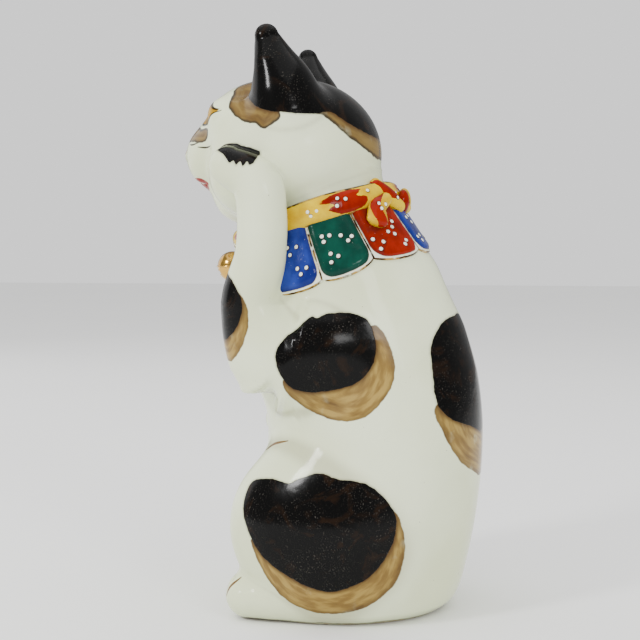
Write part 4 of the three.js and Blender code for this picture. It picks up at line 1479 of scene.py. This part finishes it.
    def panel(self, index: int) -> bpy.types.Object:
        """Builds one bib panel: a white relief ground, a raised enamel field, gold lines and dots.

        Args:
            index: The panel's number, from 0.

        Returns:
            The piece.
        """
        colour = self.colours[index]
        start, end = (math.radians(a) for a in self.seams[index:index + 2])
        lean_start, lean_end = (math.radians(a) for a in self.leans[index:index + 2])
        top = self.collar_height / 2 - self.collar_bite - 1.0
        bottom = self.collar_height / 2 + self.bib_drop - 1.4
        bm = bmesh.new()
        bmesh.ops.create_grid(bm, x_segments=46, y_segments=56, size=1)
        for vert in bm.verts:
            vert.co.z = 1
        back = bmesh.ops.extrude_face_region(bm, geom=bm.faces[:])["geom"]
        for vert in back:
            if isinstance(vert, bmesh.types.BMVert):
                vert.co.z = 0
        p = np.array([v.co for v in bm.verts])
        across, down, front = p[:, 0], (1 - p[:, 1]) / 2, p[:, 2] > 0.5
        down = down ** 0.9
        from_turn, to_turn = start + lean_start * down, end + lean_end * down
        turn = from_turn + (to_turn - from_turn) * (across + 1) / 2
        dip_start, dip_end = self.dips[index:index + 2]
        edge = bottom + dip_start + (dip_end - dip_start) * (across + 1) / 2
        edge = edge + self.bib_sag * (1 - np.abs(across) ** 2.4)
        drop = top + (edge - top) * down
        chord = np.linalg.norm(TORSO.neck(from_turn, drop, 0) - TORSO.neck(to_turn, drop, 0), axis=1)
        half = chord / 2
        side_gap = np.interp(drop, [top, bottom], [0.55, 0.9])
        corner = 0.34 * half
        qx = np.abs(across) * half - (half - side_gap - corner)
        qy = drop - (edge - 1.9 - corner)
        field_values = np.minimum(np.maximum(qx, qy), 0) + np.hypot(np.maximum(qx, 0), np.maximum(qy, 0)) - corner
        inside = np.clip(-field_values / 2.6, 0, 1)
        rim = np.clip((edge - drop) / 1.1, 0, 1)
        height = self.bib_relief * np.sqrt(rim) + self.bib_pillow * inside * (2 - inside) * 0.9
        seam = np.abs(across) * half - half
        height -= 0.35 * np.exp(-((seam / 0.7) ** 2))
        outward = np.where(front, height - 0.15 * (1 - rim), -1.2)
        at = TORSO.neck(turn, drop, outward)
        for vert, row in zip(bm.verts, at):
            vert.co = row
        bmesh.ops.recalc_face_normals(bm, faces=bm.faces[:])
        count = len(bm.verts)
        pattern = dict(self.bib_dots)[colour]
        flip = -1 if 2 <= index <= 6 else 1
        for x, z in pattern:
            low, high = start + lean_start * z, end + lean_end * z
            angle = low + (high - low) * (flip * x + 1) / 2
            depth = top + (bottom + self.bib_sag - top) * z
            spot = TORSO.neck(angle, depth, self.bib_relief + 0.9 * self.bib_pillow)[0]
            DOTS.add(bm, spot, self.outwards(angle, 0.35))
        made = object_from(bm, "panel")
        mesh = made.data.copy()
        bpy.data.objects.remove(made)
        pad = len(mesh.vertices) - count
        trim = np.minimum(seam * -1 - 0.42, np.maximum(edge - drop - 0.95, -0.6))
        trim = np.where(front, trim, 3)

        def padded(values: np.ndarray) -> np.ndarray:
            """Values for the panel's own vertices, then for the dots."""
            return np.concatenate([values, np.full(pad, 3.0)])

        shade = np.full(count, FAR)
        if colour is Colour.RED:
            shade = 5 - 0.45 * (across * half + drop - 6)
        self.dress(mesh, padded(field_values), padded(shade), padded(trim))
        return piece_from(mesh, f"enamelled_bib_panel_{index + 1}", [f"bib_panel_{index + 1}"], colour.slot(),
                          [self.enamels[colour], *self.beads])

    def bow_point(self, side: int, degrees: float, drop: float, outward: float) -> np.ndarray:
        """A point of the bow, by its turn from the nape and its drop below the collar's plane."""
        turn = math.pi / 2 - side * math.radians(degrees)
        return TORSO.neck(turn, drop, self.collar_thickness - self.collar_bite + outward)[0]

    def ribbon(self, name: str, side: int, rows: Sequence[Sequence[float]], node: str, colour: Colour,
               second: Callable[[float, float], float], dots: Sequence[tuple[float, float]]) -> bpy.types.Object:
        """Builds one loop or end of the bow.

        Args:
            name: The piece's name.
            side: The side of the nape that it lies on.
            rows: Its stations: degrees from the nape, drop, outward, half thickness and half width.
            node: The CAD node that it stands for.
            colour: Its main enamel.
            second: Gives the second colour's distance at a share of its length and a share across.
            dots: Places of dots, as a share of its length and a share across.

        Returns:
            The piece.
        """
        middle = sum(r[0] for r in rows) / len(rows)
        out = self.outwards(math.pi / 2 - side * math.radians(middle))
        limb = Limb([(*self.bow_point(side, *r[:3]), r[3], r[4]) for r in rows], side=out)
        bm = bmesh.new()
        made = bmesh.ops.create_uvsphere(bm, u_segments=48, v_segments=64, radius=1)["verts"]
        values = []
        for vert in made:
            unit = vert.co.copy()
            spot, share, across = limb.place(unit)
            flat = math.hypot(unit.x, unit.y) or 1.0
            sideways = unit.y / flat * math.cos(max(abs(math.asin(max(-1, min(1, unit.z)))) - math.pi / 4, 0) * 2)
            length = (math.asin(max(-1, min(1, unit.z))) / (math.pi / 2) + 1) / 2
            vert.co = spot
            values.append((length, sideways, across))
        rows_of = np.array(values)
        count = len(made)
        bmesh.ops.recalc_face_normals(bm, faces=bm.faces[:])
        for length, sideways in dots:
            lift = (length * 2 - 1) * math.pi / 2
            flat = math.cos(lift)
            unit = Vector((flat * math.sqrt(max(0, 1 - sideways**2)), flat * sideways, math.sin(lift)))
            DOTS.add(bm, limb.place(unit)[0], out, 0.9)
        made_object = object_from(bm, name)
        mesh = made_object.data.copy()
        bpy.data.objects.remove(made_object)
        pad = np.full(len(mesh.vertices) - count, 3.0)
        other = np.array([second(a, b) for a, b, _ in values])
        ridge = 0.9 - 3.2 * np.clip(0.32 - np.abs(rows_of[:, 2]), 0, 1)
        self.dress(mesh, np.full(len(mesh.vertices), -3.0), np.concatenate([other, pad]), np.concatenate([ridge, pad]))
        return piece_from(mesh, name, [node], colour.slot(), [self.enamels[colour], *self.beads])

    def bow(self) -> list[bpy.types.Object]:
        """Builds the bow at the nape: its knot, two loops and two ends."""
        made = []
        for name, side in (("left", LEFT), ("right", RIGHT)):
            made.append(self.ribbon(
                f"enamelled_bow_{name}_loop", side,
                ((14, 7, -2, 2.7, 3.2), (23, 2, -1.6, 2.9, 4.5), (32, -5, -2.2, 2.7, 3.8)),
                f"bow_{name}_loop", Colour.YELLOW,
                lambda a, b: 16 * (a - 0.5 + 0.14 * abs(b)), ((0.42, 0.1),)))
            made.append(self.ribbon(
                f"enamelled_bow_{name}_end", side,
                ((33, 3, -0.6, 3, 3.1), (46, 6.5, -0.6, 3, 4.4), (51, 12, -1.2, 3, 5.5)),
                f"bow_{name}_end", Colour.YELLOW,
                lambda a, b: 18 * (a - 0.46 + 0.14 * abs(b)), ((0.42, -0.3), (0.5, 0.35), (0.56, -0.1))))
        low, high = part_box("bow_knot")
        middle, half = (low + high) / 2 / MM, (high - low) / 2 / MM
        bm = bmesh.new()
        bmesh.ops.create_uvsphere(bm, u_segments=48, v_segments=32, radius=1)
        p = np.array([v.co for v in bm.verts])
        swell = 1 - 0.1 * np.exp(-((np.abs(p[:, 0]) - 0.35) / 0.12) ** 2)
        for vert, s in zip(bm.verts, swell):
            vert.co = (middle.x + vert.co.x * half.x, middle.y + vert.co.y * half.y * s, middle.z + vert.co.z * half.z * s)
        made_object = object_from(bm, "knot")
        mesh = made_object.data.copy()
        bpy.data.objects.remove(made_object)
        self.dress(mesh, np.full(len(p), -3.0), 4 * (0.3 - np.abs(p[:, 0])), 6 * np.abs(np.abs(p[:, 0]) - 0.3) - 0.35)
        made.append(piece_from(mesh, "enamelled_bow_knot", ["bow_knot"], "yellow_enamel", [self.enamels[Colour.YELLOW]]))
        return made

    def bell(self) -> bpy.types.Object:
        """Builds the bell with its belt and sounding slot."""
        low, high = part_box("bell")
        radius = (high.x - low.x) / 2 / MM
        middle = Vector(((low.x + high.x) / 2, (low.y + high.y) / 2, (low.z + high.z) / 2)) / MM
        ball = mesh_of(lambda bm: bmesh.ops.create_uvsphere(
            bm, u_segments=64, v_segments=40, radius=radius, matrix=Matrix.Translation(middle)))

        def slot(bm: bmesh.types.BMesh) -> None:
            """Adds the slot's cutter."""
            place = Matrix.Translation(middle + Vector((0, -radius, -0.4 * radius)))
            bmesh.ops.create_cube(bm, size=1, matrix=place @ Matrix.Diagonal((1.24 * radius, 1.2 * radius, 1.5, 1)))

        def hole(bm: bmesh.types.BMesh) -> None:
            """Adds the cutter of the slot's round middle."""
            place = Matrix.Translation(middle + Vector((0, -radius, -0.4 * radius))) @ Matrix.Rotation(math.pi / 2, 4, "X")
            bmesh.ops.create_cone(bm, cap_ends=True, segments=32, radius1=1.9, radius2=1.9, depth=1.2 * radius, matrix=place)

        def belt(bm: bmesh.types.BMesh) -> None:
            """Adds the raised belt."""
            ring = bmesh.ops.create_circle(bm, segments=12, radius=0.45, matrix=Matrix.Translation(
                (radius, 0, 0)) @ Matrix.Rotation(math.pi / 2, 4, "X"))["verts"]
            bmesh.ops.spin(bm, geom=[*ring, *{e for v in ring for e in v.link_edges}], cent=(0, 0, 0), axis=(0, 0, 1),
                           dvec=(0, 0, 0), angle=2 * math.pi, steps=72, use_merge=True)
            bmesh.ops.translate(bm, verts=bm.verts[:], vec=middle)
            bmesh.ops.recalc_face_normals(bm, faces=bm.faces[:])

        mesh = carve(carve(ball, mesh_of(slot), "DIFFERENCE"), mesh_of(hole), "DIFFERENCE")
        mesh = carve(mesh, mesh_of(belt), "UNION")
        return piece_from(mesh, "gilded_bell", ["bell"], "gold", [Gilding().build()])

    def build(self) -> list[bpy.types.Object]:
        """Builds the dress.

        Returns:
            The pieces.
        """
        return [self.collar(), *(self.panel(i) for i in range(len(self.colours))), *self.bow(), self.bell()]


# ---- The studio -------------------------------------------------------------------------------


@dataclass
class Studio:
    """The floor, the soft lights and the camera, in metres."""

    azimuth: float = 103.5
    elevation: float = 3.0
    distance: float = 0.62
    target: tuple[float, float, float] = (0.0, -0.0114, 0.1355)
    lens: float = 72.54
    glow: float = 1.15
    sheen: float = 0.4

    def camera(self) -> None:
        """Places the camera at its viewing angle."""
        a, e = math.radians(self.azimuth), math.radians(self.elevation)
        back = Vector((math.sin(a) * math.cos(e), -math.cos(a) * math.cos(e), math.sin(e)))
        data = bpy.data.cameras.new("camera")
        data.lens, data.sensor_width, data.clip_start, data.clip_end = self.lens, 36, 0.01, 20
        made = bpy.data.objects.new("camera", data)
        made.location = Vector(self.target) + back * self.distance
        made.rotation_mode = "QUATERNION"
        made.rotation_quaternion = (-back).to_track_quat("-Z", "Y")
        bpy.context.scene.collection.objects.link(made)
        bpy.context.scene.camera = made

    def light(self, name: str, at: Sequence[float], size: float, watts: float, colour: Sequence[float] = (1, 1, 1)) -> None:
        """Adds a soft square light aimed at the figure.

        Args:
            name: The light's name.
            at: Its place.
            size: Its side.
            watts: Its power.
            colour: Its colour.
        """
        data = bpy.data.lights.new(name, "AREA")
        data.shape, data.size, data.energy, data.color = "SQUARE", size, watts, colour
        made = bpy.data.objects.new(name, data)
        made.location = at
        made.rotation_mode = "QUATERNION"
        made.rotation_quaternion = (Vector(self.target) - Vector(at)).to_track_quat("-Z", "Y")
        bpy.context.scene.collection.objects.link(made)

    def floor(self) -> None:
        """Lays the pale floor."""
        bm = bmesh.new()
        bmesh.ops.create_grid(bm, x_segments=2, y_segments=2, size=6)
        made = object_from(bm, "floor")
        r = Recipe("pale_floor")
        made.data.materials.append(r.finish(r.blend(r.noise(3, 2), (0.90, 0.90, 0.89, 1.0), (0.87, 0.87, 0.865, 1.0)), 0.9))

    def build(self) -> None:
        """Builds the studio."""
        self.floor()
        self.camera()
        self.light("key", (1.1, -0.9, 1.0), 0.25, 15)
        self.light("fill", (1.2, 1.1, 0.7), 0.4, 8)
        self.light("top", (0.1, 0.0, 1.5), 2.0, 14)
        self.light("front", (-0.6, -1.4, 0.5), 1.3, 8)
        world = bpy.data.worlds.new("studio")
        world.use_nodes = True
        world.node_tree.nodes["Background"].inputs[0].default_value = (1.0, 1.0, 1.0, 1)
        rays = world.node_tree.nodes.new("ShaderNodeLightPath")
        strength = world.node_tree.nodes.new("ShaderNodeMapRange")
        strength.inputs["To Min"].default_value, strength.inputs["To Max"].default_value = self.glow, self.sheen
        world.node_tree.links.new(rays.outputs["Is Glossy Ray"], strength.inputs["Value"])
        world.node_tree.links.new(strength.outputs[0], world.node_tree.nodes["Background"].inputs[1])
        bpy.context.scene.world = world


def main() -> None:
    """Builds the figurine in order, then the studio."""
    logging.basicConfig(level=logging.INFO, format="%(name)s: %(message)s")
    pieces = [*Castings().build(), Base().build(), *Dress().build()]
    Studio().build()
    LOG.info("%d pieces", len(pieces))
    bpy.context.view_layer.update()


if __name__ == "__main__":
    main()
